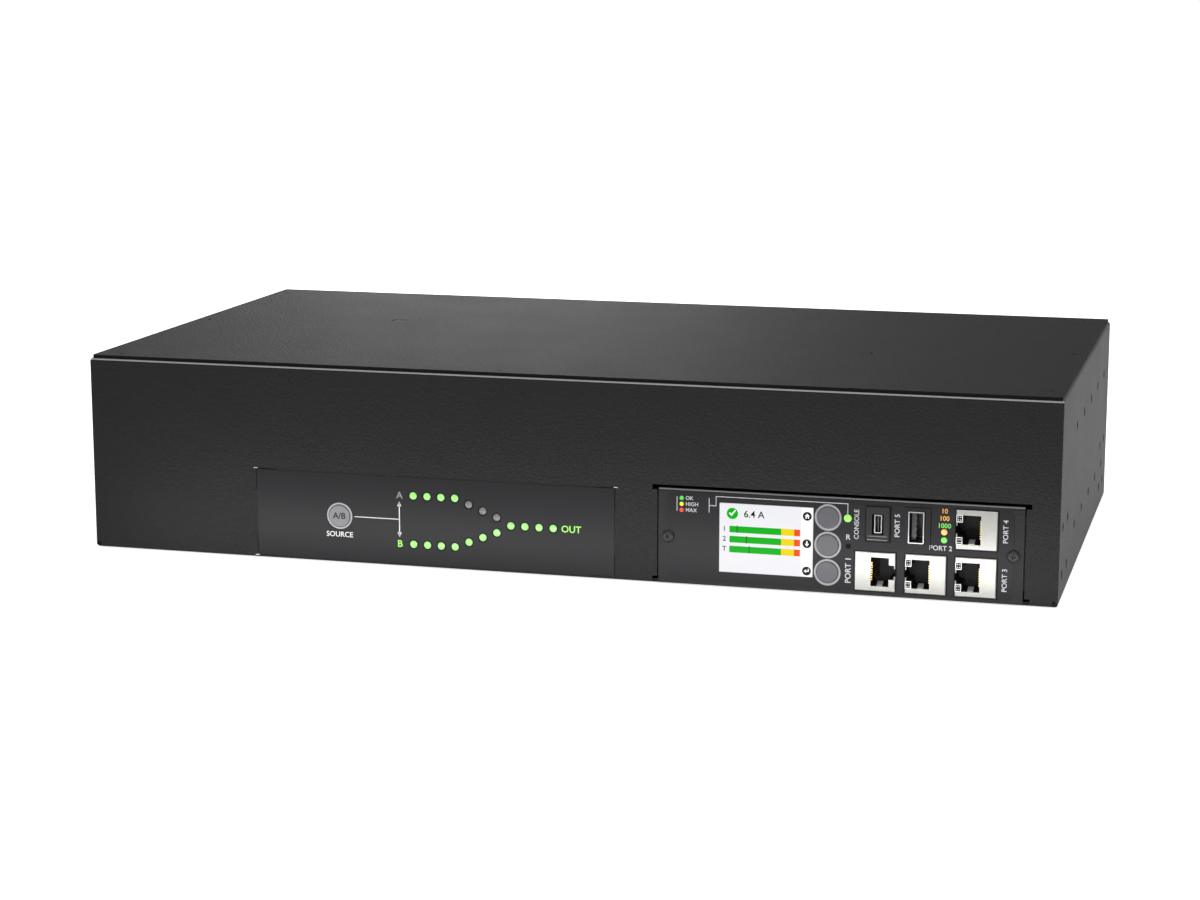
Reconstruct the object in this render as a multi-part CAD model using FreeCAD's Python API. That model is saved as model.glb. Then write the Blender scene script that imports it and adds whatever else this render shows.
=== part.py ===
"""Rack transfer switch, two units high: a folded steel chassis with a flat cover, a status panel,
a removable management module, and the outlets, breakers and cable glands of its rear wall.

Millimetres. X runs along the front from left to right, Y from the front to the rear, Z up.
The origin is the middle of the flat base."""
import FreeCAD, Part
import math
import os

V = FreeCAD.Vector

# Chassis and cover
WIDTH = 432.0
DEPTH = 234.0
CHASSIS_HEIGHT = 86.8
SHEET = 1.2
BEND = 1.5
TOP_FLANGE = 14.0
SEAM = 0.3
CORNER_RELIEF = 1.9
RELIEF_EDGE = 0.4
COVER_SHEET = 1.2
COVER_INSET = 0.8
COVER_CORNER = 1.0
COVER_SCREW_R = 1.5
COVER_SCREW_HEAD_R = 2.8
COVER_SCREW_LENGTH = 6.0
COVER_SCREW_EDGE = 7.0
COVER_SCREW_OFFSET = 26.4
LANCE_LENGTH = 6.5
LANCE_HOOK = 5.0
LANCE_WIDTH = 0.5
LANCE_X = 118.0
LANCE_Y = 23.0
THREAD_FIT = 0.05
FREE_FIT = 0.3
SMALL_SIDES = 16
ROUND_SIDES = 24
ROUND_FROM_R = 3.0

# Side walls: mounting holes
SIDE_HOLE_R = 2.1
SIDE_GRID_FIRST = 66.0
SIDE_GRID_PITCH = 35.2
SIDE_GRID_COLUMNS = 5
SIDE_UPPER_Z = 65.0
SIDE_LOWER_Z = 21.5
EAR_PATTERN_Y = 20.6
EAR_PATTERN_Z = 20.1
EAR_FRONT_Y = 23.1
EAR_REAR_Y = 207.2
SIDE_LOCATING_HOLE = (229.3, 42.6)
SIDE_LOCATING_R = 1.2

# Status label on the left of the front
FILM = 0.2
LABEL_LEFT = -137.0
LABEL_WIDTH = 164.0
LABEL_BOTTOM = 1.6
LABEL_HEIGHT = 38.5
MARK_LENGTH = 9.5
MARK_WIDTH = 0.5
MARK_DEPTH = 0.3
LED_R = 1.7
LED_SLOT_EDGE = 0.6
LED_PROUD = 0.25
LED_FIRST_X = -64.0
LED_PITCH = 6.37
LED_LEVEL_COUNT = 4
LED_SLOPE_COUNT = 3
OUTPUT_LED_COUNT = 4
LED_ROW_RISE = 10.85
LED_SLOPE_STEP = 2.48
MIMIC_Z = 21.0
STATUS_BOARD_GAP = 6.5
BOARD = 1.6

# Round push buttons
BUTTON_TRAVEL = 0.8
BUTTON_PROUD = 0.6
BUTTON_FLANGE = 0.8
BUTTON_EDGE = 0.3
STEM_R = 1.7
PREFERENCE_X = -98.3
PREFERENCE_R = 4.9
DISPLAY_BUTTON_X = 119.7
DISPLAY_BUTTON_R = 4.7
DISPLAY_BUTTON_STEP = 11.8
BUTTON_FLANGE_RIM = 0.5
SWITCH_SIDE = 6.0
SWITCH_HEIGHT = 3.5
RESET_SWITCH_SIDE = 4.5
PLUNGER_R = 1.0

# Management module on the right of the front
MODULE_CENTRE = 124.05
MODULE_WIDTH = 155.1
MODULE_TOP = 41.6
MODULE_GAP = 0.6
MODULE_SLOT = 1.4
MODULE_RELIEF = 2.2
MODULE_FLANGE = 12.0
SEAT_TAB = 7.0
SEAT_TAB_INSET = 3.0
MODULE_FILM_LEFT = 50.1
MODULE_FILM_WIDTH = 147.3
MODULE_FILM_BOTTOM = 1.9
MODULE_FILM_HEIGHT = 37.8
FILM_CORNER = 3.0
MODULE_SCREW_X = 73.25
MODULE_SCREW_Z = 20.7
MODULE_SCREW_R = 1.5
MODULE_SCREW_HEAD_R = 2.6
MODULE_SCREW_HEAD = 1.5
MODULE_SCREW_LENGTH = 5.0
MODULE_BOARD_DEPTH = 14.2
WINDOW_GAP = 0.25
MODULE_POST_R = 1.5
MODULE_POST_PIN_R = 1.0
LCD_X = 93.2
LCD_Z = 21.5
LCD_WIDTH = 40.1
LCD_HEIGHT = 29.7
LCD_GLASS = 1.1
LCD_HOLDER_WALL = 0.6
LAMP_X = 128.0
LAMP_Z = 32.9
LAMP_R = 1.65
RESET_HOLE_R = 0.8
RESET_PIN_R = 0.55
RESET_TRAVEL = 0.4
ACTIVITY_LAMP_X = 168.5
ACTIVITY_LAMP_Z = 29.3
LINK_LAMP_Z = 25.9
SMALL_LAMP_R = 1.3
PORT_PROUD = 0.3

# Network jacks, all turned on their sides
JACK_WIDTH = 17.3
JACK_HEIGHT = 16.9
JACK_CAVITY_WIDTH = 7.6
JACK_CAVITY_HEIGHT = 12.4
JACK_CAVITY_DEPTH = 11.5
JACK_CAVITY_SHIFT = 2.05
JACK_NOTCH = 2.2
JACK_NOTCH_HEIGHT = 6.2
JACK_KEYWAY = 0.9
JACK_KEYWAY_HEIGHT = 3.3
JACK_EDGE = 0.4
CONTACT_COUNT = 8
CONTACT_PITCH = 1.02
CONTACT_SIDE = 0.4
CONTACT_RISE = 2.0
CONTACT_LENGTH = 7.0
PORT_ROW_Z = 10.75
PORT_UPPER_Z = 30.85
UNIVERSAL_X = 139.9
LINK_A_X = 161.1
LINK_B_X = 181.95
USB_X = 156.8
USB_Z = 30.55
USB_WIDTH = 6.6
USB_HEIGHT = 13.5
USB_SHELL = 0.4
USB_TONGUE = 1.8
USB_TONGUE_SHIFT = 1.35
USB_TONGUE_LENGTH = 9.0
CONSOLE_X = 140.8
CONSOLE_Z = 31.15
CONSOLE_BEZEL_WIDTH = 10.1
CONSOLE_BEZEL_HEIGHT = 14.9
CONSOLE_HOLE_WIDTH = 4.9
CONSOLE_HOLE_HEIGHT = 8.7
CONSOLE_BEZEL_PROUD = 0.9
CONSOLE_SHELL_WIDTH = 3.2
CONSOLE_SHELL_HEIGHT = 7.8

# Rear wall
UPPER_ROW_Z = 62.0
LOWER_ROW_Z = 26.0
BANK_1_X = 80.0
BANK_2_X = -106.0
LARGE_OUTLET_X = -10.0
OUTLET_PITCH = 31.0
OUTLETS_IN_STRIP = 4
OUTLET_DEPTH = 22.0
OUTLET_RIM = 1.5
OUTLET_RIM_LIP = 2.0
OUTLET_HEIGHT = 22.4
MOAT_WIDTH = 28.6
MOAT_HEIGHT = 20.2
MOAT = 2.2
MOAT_DEPTH = 15.0
MOAT_CHAMFER = 4.5
SLOT_WIDTH = 2.2
SLOT_LENGTH = 4.4
SLOT_SPREAD = 7.0
SLOT_RISE = 2.0
LARGE_SCALE = 1.3
BREAKER_1_X = 158.0
BREAKER_2_X = -187.0
BREAKER_Z = 50.0
BREAKER_WIDTH = 20.0
BREAKER_HEIGHT = 38.0
BREAKER_DEPTH = 40.0
BREAKER_RIM = 2.0
BREAKER_LIP = 1.5
BREAKER_SLOT_WIDTH = 8.0
BREAKER_SLOT_HEIGHT = 20.0
BREAKER_POCKET = 9.0
BREAKER_TAB = 7.0
BREAKER_TAB_WIDTH = 6.3
BREAKER_TAB_THICKNESS = 0.8
BREAKER_TAB_SPREAD = 12.0
HANDLE_THICKNESS = 7.0
HANDLE_R = 4.0
HANDLE_REACH = 13.0
HANDLE_PIN_R = 1.5
HANDLE_TILT = 22.0
PIN_FIT = 0.05
GLAND_X = 192.0
GLAND_UPPER_Z = 64.0
GLAND_LOWER_Z = 23.0
GLAND_ACROSS_FLATS = 30.0
GLAND_THREAD_R = 12.5
GLAND_BORE_R = 8.5
GLAND_HEX = 6.0
GLAND_TAIL = 12.0
GLAND_COLLAR = 8.0
GLAND_DOME_R = 13.5
GLAND_NUT = 5.0
GROUND_X = 158.0
GROUND_Z = 14.0
GROUND_SCREW_R = 2.0
GROUND_HEAD_R = 4.0
GROUND_HEAD = 2.6
GROUND_FLANGE = 1.0
GROUND_FLANGE_R = 5.0
GROUND_SCREW_LENGTH = 9.0

# Power board on the floor
POWER_BOARD_WIDTH = 300.0
POWER_BOARD_DEPTH = 150.0
POWER_BOARD_X = -5.0
POWER_BOARD_Y = -8.0
STANDOFF = 6.8
STANDOFF_R = 2.8
STANDOFF_FOOT_R = 2.1
BOARD_SCREW_R = 1.5
BOARD_SCREW_HEAD_R = 2.8
BOARD_SCREW_HEAD = 2.0
BOARD_SCREW_LENGTH = 6.0
BOARD_HOLE_EDGE = 5.0
INSULATOR = 0.4
RELAY_WIDTH = 27.0
RELAY_DEPTH = 32.0
RELAY_HEIGHT = 28.0
RELAY_FOOT = 2.5
RELAY_FIRST_X = 105.0
RELAY_PITCH = 33.0
RELAY_COUNT = 4
RELAY_Y = 15.0
TRANSFORMER_Y = 10.0
TRANSFORMER_COLUMNS = (-40.0, -90.0)
CAPACITOR_X = -90.0
CAPACITOR_Y = 50.0
SENSOR_Y = -20.0
INPUT_TERMINAL_Y = 50.0
OUTPUT_TERMINAL_1_X = 132.0
OUTPUT_TERMINAL_2_X = -125.0
OUTPUT_TERMINAL_Y = -45.0
TRANSFORMER_WIDTH = 42.0
TRANSFORMER_DEPTH = 35.0
TRANSFORMER_HEIGHT = 29.0
SENSOR_R = 12.0
SENSOR_BORE_R = 5.5
SENSOR_WIDTH = 10.0
CAPACITOR_R = 8.0
CAPACITOR_HEIGHT = 26.0
CAPACITOR_PITCH = 20.0
CAPACITOR_COUNT = 4
TERMINAL_PITCH = 9.5
TERMINAL_DEPTH = 14.0
TERMINAL_HEIGHT = 13.0
TERMINAL_WELL = 5.2
TERMINAL_MOUTH = 5.0
TERMINAL_MOUTH_Z = 4.5
LEAD_R = 1.8
RIBBON = 0.9
RIBBON_WIDTH = 14.0
HEADER_WIDTH = 16.0
HEADER_THICKNESS = 5.0
HEADER_DEPTH = 6.0
STATUS_HEADER_X = 5.0
MODULE_HEADER_X = 66.0
CONTROL_HEADER_X = 90.0
CONTROL_HEADER_Y = -74.0
CONTROL_HEADER_Z = 28.0

FRONT = -DEPTH / 2
REAR = DEPTH / 2
FLOOR = SHEET
FRONT_INSIDE = FRONT + SHEET
REAR_INSIDE = REAR - SHEET
TOTAL_HEIGHT = CHASSIS_HEIGHT + COVER_SHEET
STATUS_BOARD_Y = FRONT_INSIDE + STATUS_BOARD_GAP
MODULE_BOARD_Y = FRONT + MODULE_BOARD_DEPTH
BOARD_TOP = FLOOR + STANDOFF + BOARD
MODULE_LEFT = MODULE_CENTRE - MODULE_WIDTH / 2
MODULE_RIGHT = MODULE_CENTRE + MODULE_WIDTH / 2
LABEL_FACE = FRONT - FILM
JACKS = {
    "universal_port_jack": (UNIVERSAL_X, PORT_ROW_Z, 1),
    "link_a_jack": (LINK_A_X, PORT_ROW_Z, -1),
    "link_b_jack": (LINK_B_X, PORT_ROW_Z, -1),
    "network_jack": (LINK_B_X, PORT_UPPER_Z, -1),
}
DISPLAY_BUTTONS = {
    "home_button": MIMIC_Z + DISPLAY_BUTTON_STEP,
    "scroll_button": MIMIC_Z,
    "enter_button": MIMIC_Z - DISPLAY_BUTTON_STEP,
}
RESET_X = DISPLAY_BUTTON_X + 8.8
STRIPS = {
    "bank_1_upper_outlets": (BANK_1_X, UPPER_ROW_Z),
    "bank_1_lower_outlets": (BANK_1_X, LOWER_ROW_Z),
    "bank_2_upper_outlets": (BANK_2_X, UPPER_ROW_Z),
    "bank_2_lower_outlets": (BANK_2_X, LOWER_ROW_Z),
}
LARGE_OUTLETS = {"upper_large_outlet": UPPER_ROW_Z, "lower_large_outlet": LOWER_ROW_Z}
BREAKERS = {"bank_1_breaker": BREAKER_1_X, "bank_2_breaker": BREAKER_2_X}
GLANDS = {"source_a_gland": GLAND_UPPER_Z, "source_b_gland": GLAND_LOWER_Z}
TERMINALS = [
    (RELAY_FIRST_X, INPUT_TERMINAL_Y, 3),
    (RELAY_FIRST_X - RELAY_PITCH, INPUT_TERMINAL_Y, 3),
    (OUTPUT_TERMINAL_1_X, OUTPUT_TERMINAL_Y, 2),
    (OUTPUT_TERMINAL_2_X, OUTPUT_TERMINAL_Y, 2),
]


def block(x0, x1, y0, y1, z0, z1):
    return Part.makeBox(x1 - x0, y1 - y0, z1 - z0, V(x0, y0, z0))


def rod(centre, axis, radius, length):
    return Part.makeCylinder(radius, length, V(*centre), V(*axis))


def rod_y(x, z, radius, y0, y1):
    return rod((x, y0, z), (0, 1, 0), radius, y1 - y0)


def edges_along(solid, axis):
    chosen = []
    for edge in solid.Edges:
        ends = edge.Vertexes
        if len(ends) == 2:
            run = ends[1].Point - ends[0].Point
            if run.Length > 1e-6 and abs(abs(run.normalize().dot(V(*axis))) - 1) < 1e-6:
                chosen.append(edge)
    return chosen


def plate_y(x, z, width, height, y0, y1, corner=0.0):
    """A flat plate facing the front, centred on x and z, with rounded corners."""
    plate = block(x - width / 2, x + width / 2, y0, y1, z - height / 2, z + height / 2)
    if corner > 0:
        plate = plate.makeFillet(corner, edges_along(plate, (0, 1, 0)))
    return plate


def turned(profile):
    """A small turned piece about the Z axis, with flat sides to keep its faces few. The profile
    is (radius, z) points, from the axis to the axis or round a hollow section."""
    sides = ROUND_SIDES if max(radius for radius, z in profile) > ROUND_FROM_R else SMALL_SIDES
    ends = profile if profile[0][0] == 0 else profile + [profile[0]]
    faces = []
    for k in range(sides):
        for (r0, z0), (r1, z1) in zip(ends, ends[1:]):
            corners = []
            for radius, z, step in ((r0, z0, k), (r0, z0, k + 1), (r1, z1, k + 1), (r1, z1, k)):
                angle = 2 * math.pi * (step % sides) / sides
                corner = V(radius * math.cos(angle), radius * math.sin(angle), z)
                if not corners or (corner - corners[-1]).Length > 1e-9:
                    corners.append(corner)
            if (corners[0] - corners[-1]).Length < 1e-9:
                corners.pop()
            faces.append(Part.Face(Part.makePolygon(corners + [corners[0]])))
    solid = Part.Solid(Part.Shell(faces)).removeSplitter()
    if solid.Volume < 0:
        solid.reverse()
    return solid


def turned_y(x, z, profile):
    """A small turned piece about an axis along Y; the profile is (radius, y) points."""
    solid = turned(profile)
    solid.rotate(V(0, 0, 0), V(1, 0, 0), -90)
    solid.translate(V(x, 0, z))
    return solid


def turned_z(x, y, profile):
    """A small turned piece about an upright axis; the profile is (radius, z) points."""
    solid = turned(profile)
    solid.translate(V(x, y, 0))
    return solid


def pin_y(x, z, radius, y0, y1):
    """A small pin along Y, or the hole for one, with the flat sides of a turned piece."""
    return turned_y(x, z, [(0, y0), (radius, y0), (radius, y1), (0, y1)])


def pin_z(x, y, radius, z0, z1):
    """A small upright pin, or the hole for one."""
    return turned_z(x, y, [(0, z0), (radius, z0), (radius, z1), (0, z1)])


def hexagon_y(x, z, across_flats, y0, y1):
    corner_r = across_flats / math.sqrt(3)
    points = []
    for k in range(6):
        angle = math.radians(60 * k + 30)
        points.append(V(x + corner_r * math.cos(angle), y0, z + corner_r * math.sin(angle)))
    return Part.Face(Part.makePolygon(points + [points[0]])).extrude(V(0, y1 - y0, 0))


def rounded_path(points):
    """Straight runs joined by tangent arcs, as large as the two runs of each corner allow."""
    corners = [V(*point) for point in points]
    edges = []
    start = corners[0]
    radii = []
    for before, corner, after in zip(corners, corners[1:], corners[2:]):
        back = before - corner
        ahead = after - corner
        cut = 0.45 * min(back.Length, ahead.Length)
        half_turn = (math.pi - back.getAngle(ahead)) / 2
        radius = cut / math.tan(half_turn)
        radii.append(round(radius, 1))
        back.normalize()
        ahead.normalize()
        inward = back + ahead
        inward.normalize()
        first = corner + back * cut
        last = corner + ahead * cut
        middle = corner + inward * (radius / math.cos(half_turn) - radius)
        edges.append(Part.LineSegment(start, first).toShape())
        edges.append(Part.Arc(first, middle, last).toShape())
        start = last
    edges.append(Part.LineSegment(start, corners[-1]).toShape())
    return Part.Wire(edges), radii


def save(name, solids):
    shape = solids[0] if len(solids) == 1 else Part.makeCompound(solids)
    for solid in shape.Solids:
        if not solid.isValid():
            print("not valid:", name)
    shape.exportStep("parts/" + name + ".step")


def led_places(side):
    """The lamp centres of one source row; side is +1 for source A and -1 for source B."""
    places = []
    for k in range(LED_LEVEL_COUNT + LED_SLOPE_COUNT):
        drop = max(0, k - LED_LEVEL_COUNT + 1) * LED_SLOPE_STEP
        places.append((LED_FIRST_X + k * LED_PITCH, MIMIC_Z + side * (LED_ROW_RISE - drop)))
    return places


def output_led_places():
    first = LED_FIRST_X + (LED_LEVEL_COUNT + LED_SLOPE_COUNT) * LED_PITCH
    return [(first + k * LED_PITCH, MIMIC_Z) for k in range(OUTPUT_LED_COUNT)]


def cover_screw_places():
    """Eight places, the same when the cover is turned half a turn."""
    side = WIDTH / 2 - COVER_SCREW_EDGE
    row = DEPTH / 2 - COVER_SCREW_EDGE
    half = [(-side + 5, -row), (-COVER_SCREW_OFFSET, -row), (side, -row + 9), (-side, 0)]
    return half + [(-x, -y) for x, y in half]


def side_hole_places():
    """(y, z, radius) of every hole of a side wall."""
    holes = []
    for k in range(SIDE_GRID_COLUMNS):
        y = FRONT + SIDE_GRID_FIRST + k * SIDE_GRID_PITCH
        holes.append((y, SIDE_UPPER_Z, SIDE_HOLE_R))
        holes.append((y, SIDE_LOWER_Z, SIDE_HOLE_R))
    for centre in (EAR_FRONT_Y, EAR_REAR_Y):
        for dy in (-EAR_PATTERN_Y / 2, EAR_PATTERN_Y / 2):
            for dz in (-EAR_PATTERN_Z / 2, EAR_PATTERN_Z / 2):
                holes.append((FRONT + centre + dy, SIDE_LOWER_Z + dz, SIDE_HOLE_R))
    y, z = SIDE_LOCATING_HOLE
    holes.append((FRONT + y, z, SIDE_LOCATING_R))
    return holes


def standoff_places():
    places = []
    half_x = POWER_BOARD_WIDTH / 2 - BOARD_HOLE_EDGE
    half_y = POWER_BOARD_DEPTH / 2 - BOARD_HOLE_EDGE
    for x in (-half_x, half_x):
        for y in (-half_y, half_y):
            places.append((POWER_BOARD_X + x, POWER_BOARD_Y + y))
    return places


def lance_marks():
    """Two J-shaped slits of the cover, one turned half a turn from the other."""
    marks = []
    for turn in (1, -1):
        x = turn * LANCE_X
        y = -turn * LANCE_Y
        stroke = block(x - LANCE_LENGTH / 2, x + LANCE_LENGTH / 2, y, y + LANCE_WIDTH,
                       CHASSIS_HEIGHT - 1, TOTAL_HEIGHT + 1)
        end = x + turn * LANCE_LENGTH / 2
        hook_x = span(end, end - turn * LANCE_WIDTH)
        hook_y = span(y, y + turn * LANCE_HOOK)
        hook = block(hook_x[0], hook_x[1], hook_y[0], hook_y[1], CHASSIS_HEIGHT - 1, TOTAL_HEIGHT + 1)
        marks.append(stroke.fuse(hook))
    return marks


def folded_box(inset, bend):
    """The chassis outline, offset inwards, with its four bottom and four top bends."""
    solid = block(-WIDTH / 2 + inset, WIDTH / 2 - inset, FRONT + inset, REAR - inset,
                  inset, CHASSIS_HEIGHT - inset)
    bends = edges_along(solid, (1, 0, 0)) + edges_along(solid, (0, 1, 0))
    return solid.makeFillet(bend, bends)


def chassis_tray():
    tray = folded_box(0, BEND).cut(folded_box(SHEET, BEND - SHEET))
    cuts = [block(-WIDTH / 2 + TOP_FLANGE, WIDTH / 2 - TOP_FLANGE, FRONT + TOP_FLANGE, REAR - TOP_FLANGE,
                  CHASSIS_HEIGHT - 2 * SHEET, CHASSIS_HEIGHT + 1)]
    for sx in (-1, 1):
        for sy in (-1, 1):
            cuts += corner_cuts(sx, sy)
    for x, y in cover_screw_places():
        cuts.append(pin_z(x, y, COVER_SCREW_R + THREAD_FIT,
                          CHASSIS_HEIGHT - 2 * SHEET, CHASSIS_HEIGHT + 1))
    for y, z, radius in side_hole_places():
        for sx in (-1, 1):
            cuts.append(rod((sx * (WIDTH / 2 + 1), y, z), (-sx, 0, 0), radius, SHEET + 2))
    for x, y in standoff_places():
        cuts.append(pin_z(x, y, STANDOFF_FOOT_R, -1, SHEET + 1))
    cuts += status_wall_cuts() + module_opening_cuts() + rear_wall_cuts()
    tray = tray.cut(cuts)
    for side in (-1, 1):
        tray = tray.fuse(module_seat(side))
    return tray.removeSplitter()


def span(a, b):
    return min(a, b), max(a, b)


def corner_cuts(sx, sy):
    """The bend relief, the upright seam and the mitred flange of one corner."""
    side = sx * WIDTH / 2
    end = sy * DEPTH / 2
    relief_x = span(side - sx * RELIEF_EDGE, side - sx * (RELIEF_EDGE + CORNER_RELIEF))
    relief_y = span(end + sy, end - sy * SHEET)
    relief_z = SHEET * 0.4
    relief = block(relief_x[0], relief_x[1], relief_y[0], relief_y[1], relief_z, relief_z + CORNER_RELIEF)
    seam_x = span(side + sx, side - sx * 2 * SHEET)
    seam_y = span(end - sy * SHEET, end - sy * (SHEET + SEAM))
    seam = block(seam_x[0], seam_x[1], seam_y[0], seam_y[1], SHEET + CORNER_RELIEF, CHASSIS_HEIGHT - SHEET)
    mitre = block(0, 1.5 * TOP_FLANGE, -SEAM / 2, SEAM / 2, CHASSIS_HEIGHT - 2 * SHEET, CHASSIS_HEIGHT + 1)
    mitre.rotate(V(0, 0, 0), V(0, 0, 1), math.degrees(math.atan2(-sy, -sx)))
    mitre.translate(V(side - sx * SHEET, end - sy * SHEET, 0))
    return [relief, seam, mitre]


def led_slots():
    """One slot of the front wall behind the film for each row of light pipes."""
    edge = LED_R + LED_SLOT_EDGE
    slots = []
    for row in (led_places(1), led_places(-1), output_led_places()):
        bend = min(LED_LEVEL_COUNT, len(row) - 1) - 1
        (x0, z0), (x1, z1), (x2, z2) = row[0], row[bend], row[-1]
        points = [(x0 - edge, z0 - edge), (x1, z1 - edge), (x2, z2 - edge), (x2 + edge, z2 - edge),
                  (x2 + edge, z2 + edge), (x2, z2 + edge), (x1, z1 + edge), (x0 - edge, z0 + edge)]
        corners = [V(x, FRONT - 1, z) for x, z in points]
        outline = Part.makePolygon(corners + [corners[0]])
        slots.append(Part.Face(outline).extrude(V(0, SHEET + 2, 0)))
    return slots


def status_wall_cuts():
    cuts = led_slots()
    cuts.append(pin_y(PREFERENCE_X, MIMIC_Z, PREFERENCE_R + FREE_FIT, FRONT - 1, FRONT_INSIDE + 1))
    right = LABEL_LEFT + LABEL_WIDTH
    top = LABEL_BOTTOM + LABEL_HEIGHT
    for edge_x, toward in ((LABEL_LEFT, 1), (right, -1)):
        for edge_z, upward in ((LABEL_BOTTOM, 1), (top, -1)):
            x = span(edge_x - toward * MARK_WIDTH, edge_x + toward * MARK_LENGTH)
            z = span(edge_z - upward * MARK_WIDTH, edge_z)
            cuts.append(block(x[0], x[1], FRONT - 1, FRONT + MARK_DEPTH, z[0], z[1]))
            x = span(edge_x - toward * MARK_WIDTH, edge_x)
            z = span(edge_z, edge_z + upward * MARK_LENGTH)
            cuts.append(block(x[0], x[1], FRONT - 1, FRONT + MARK_DEPTH, z[0], z[1]))
    return cuts


def module_opening_cuts():
    left = MODULE_LEFT - MODULE_GAP
    right = MODULE_RIGHT + MODULE_GAP
    top = MODULE_TOP + MODULE_SLOT
    back = FRONT_INSIDE + BEND - SHEET
    cuts = [block(left, right, FRONT - 1, back, -1, top)]
    cuts.append(block(left - MODULE_RELIEF, right + MODULE_RELIEF, FRONT - 1, FRONT_INSIDE,
                      top - MODULE_RELIEF, top))
    cuts.append(block(left - MODULE_RELIEF, right + MODULE_RELIEF, FRONT - 1, FRONT_INSIDE,
                      SHEET * 0.6, SHEET * 0.6 + MODULE_RELIEF))
    return cuts


def module_seat(side):
    """The joggled flange beside the module's opening, bent back from the front wall and turned
    in behind the faceplate, which its screw pulls against it."""
    edge = MODULE_WIDTH / 2 + MODULE_GAP
    bottom = SHEET * 0.6 + MODULE_RELIEF + SEAM
    top = MODULE_TOP + MODULE_SLOT - MODULE_RELIEF - SEAM
    back = FRONT_INSIDE + SHEET
    web = block(edge, edge + SHEET, FRONT_INSIDE - SHEET / 2, back, bottom, top)
    tab = block(edge - SEAT_TAB, edge + SHEET, FRONT_INSIDE, back,
                bottom + SEAT_TAB_INSET, top - SEAT_TAB_INSET)
    hole = pin_y(MODULE_SCREW_X, MODULE_SCREW_Z, MODULE_SCREW_R + THREAD_FIT, FRONT, back + 1)
    seat = web.fuse(tab).cut(hole).removeSplitter()
    if side < 0:
        seat = seat.mirror(V(0, 0, 0), V(1, 0, 0))
    seat.translate(V(MODULE_CENTRE, 0, 0))
    return seat


def rear_wall_cuts():
    y0 = REAR_INSIDE - 1
    y1 = REAR + 1
    cuts = []
    for x, z in STRIPS.values():
        cuts.append(plate_y(x, z, OUTLETS_IN_STRIP * OUTLET_PITCH + 2 * PIN_FIT,
                            OUTLET_HEIGHT + 2 * PIN_FIT, y0, y1))
    for z in LARGE_OUTLETS.values():
        cuts.append(plate_y(LARGE_OUTLET_X, z, LARGE_SCALE * OUTLET_PITCH + 2 * PIN_FIT,
                            LARGE_SCALE * OUTLET_HEIGHT + 2 * PIN_FIT, y0, y1))
    for x in BREAKERS.values():
        cuts.append(plate_y(x, BREAKER_Z, BREAKER_WIDTH + 2 * PIN_FIT, BREAKER_HEIGHT + 2 * PIN_FIT, y0, y1))
    for z in GLANDS.values():
        cuts.append(rod_y(GLAND_X, z, GLAND_THREAD_R + PIN_FIT, y0, y1))
    cuts.append(rod_y(GROUND_X, GROUND_Z, GROUND_SCREW_R + THREAD_FIT, y0, y1))
    return cuts


def countersunk_screw(radius, head_r, head, length):
    """A countersunk screw standing on its point, its flat head at height zero."""
    return turned_z(0, 0, [(0, 0), (head_r, 0), (radius, -head), (radius, -length), (0, -length)])


def cover_screws():
    head = min(COVER_SCREW_HEAD_R - COVER_SCREW_R, COVER_SHEET)
    screws = []
    for x, y in cover_screw_places():
        screw = countersunk_screw(COVER_SCREW_R, COVER_SCREW_HEAD_R, head, COVER_SCREW_LENGTH)
        screw.translate(V(x, y, TOTAL_HEIGHT))
        screws.append(screw)
    return screws


def top_cover():
    cover = Part.makeBox(WIDTH - 2 * COVER_INSET, DEPTH - 2 * COVER_INSET, COVER_SHEET,
                         V(-WIDTH / 2 + COVER_INSET, FRONT + COVER_INSET, CHASSIS_HEIGHT))
    cover = cover.makeFillet(COVER_CORNER, edges_along(cover, (0, 0, 1)))
    cuts = lance_marks()
    head = min(COVER_SCREW_HEAD_R - COVER_SCREW_R, COVER_SHEET)
    for x, y in cover_screw_places():
        hole = turned_z(x, y, [(0, TOTAL_HEIGHT), (COVER_SCREW_HEAD_R + THREAD_FIT, TOTAL_HEIGHT),
                               (COVER_SCREW_R + THREAD_FIT, TOTAL_HEIGHT - head),
                               (COVER_SCREW_R + THREAD_FIT, CHASSIS_HEIGHT - 1), (0, CHASSIS_HEIGHT - 1)])
        cuts.append(hole)
    return cover.cut(cuts)


def status_label():
    label = block(LABEL_LEFT, LABEL_LEFT + LABEL_WIDTH, LABEL_FACE, FRONT,
                  LABEL_BOTTOM, LABEL_BOTTOM + LABEL_HEIGHT)
    holes = [pin_y(PREFERENCE_X, MIMIC_Z, PREFERENCE_R + FREE_FIT, LABEL_FACE - 1, FRONT + 1)]
    for x, z in led_places(1) + led_places(-1) + output_led_places():
        holes.append(pin_y(x, z, LED_R + PIN_FIT, LABEL_FACE - 1, FRONT + 1))
    return label.cut(holes)


def lamp(x, z, radius, board_y):
    """A round light pipe that stands on its board and shows through the film."""
    return pin_y(x, z, radius, LABEL_FACE - LED_PROUD, board_y)


def leds(places):
    return [lamp(x, z, LED_R, STATUS_BOARD_Y) for x, z in places]


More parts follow.
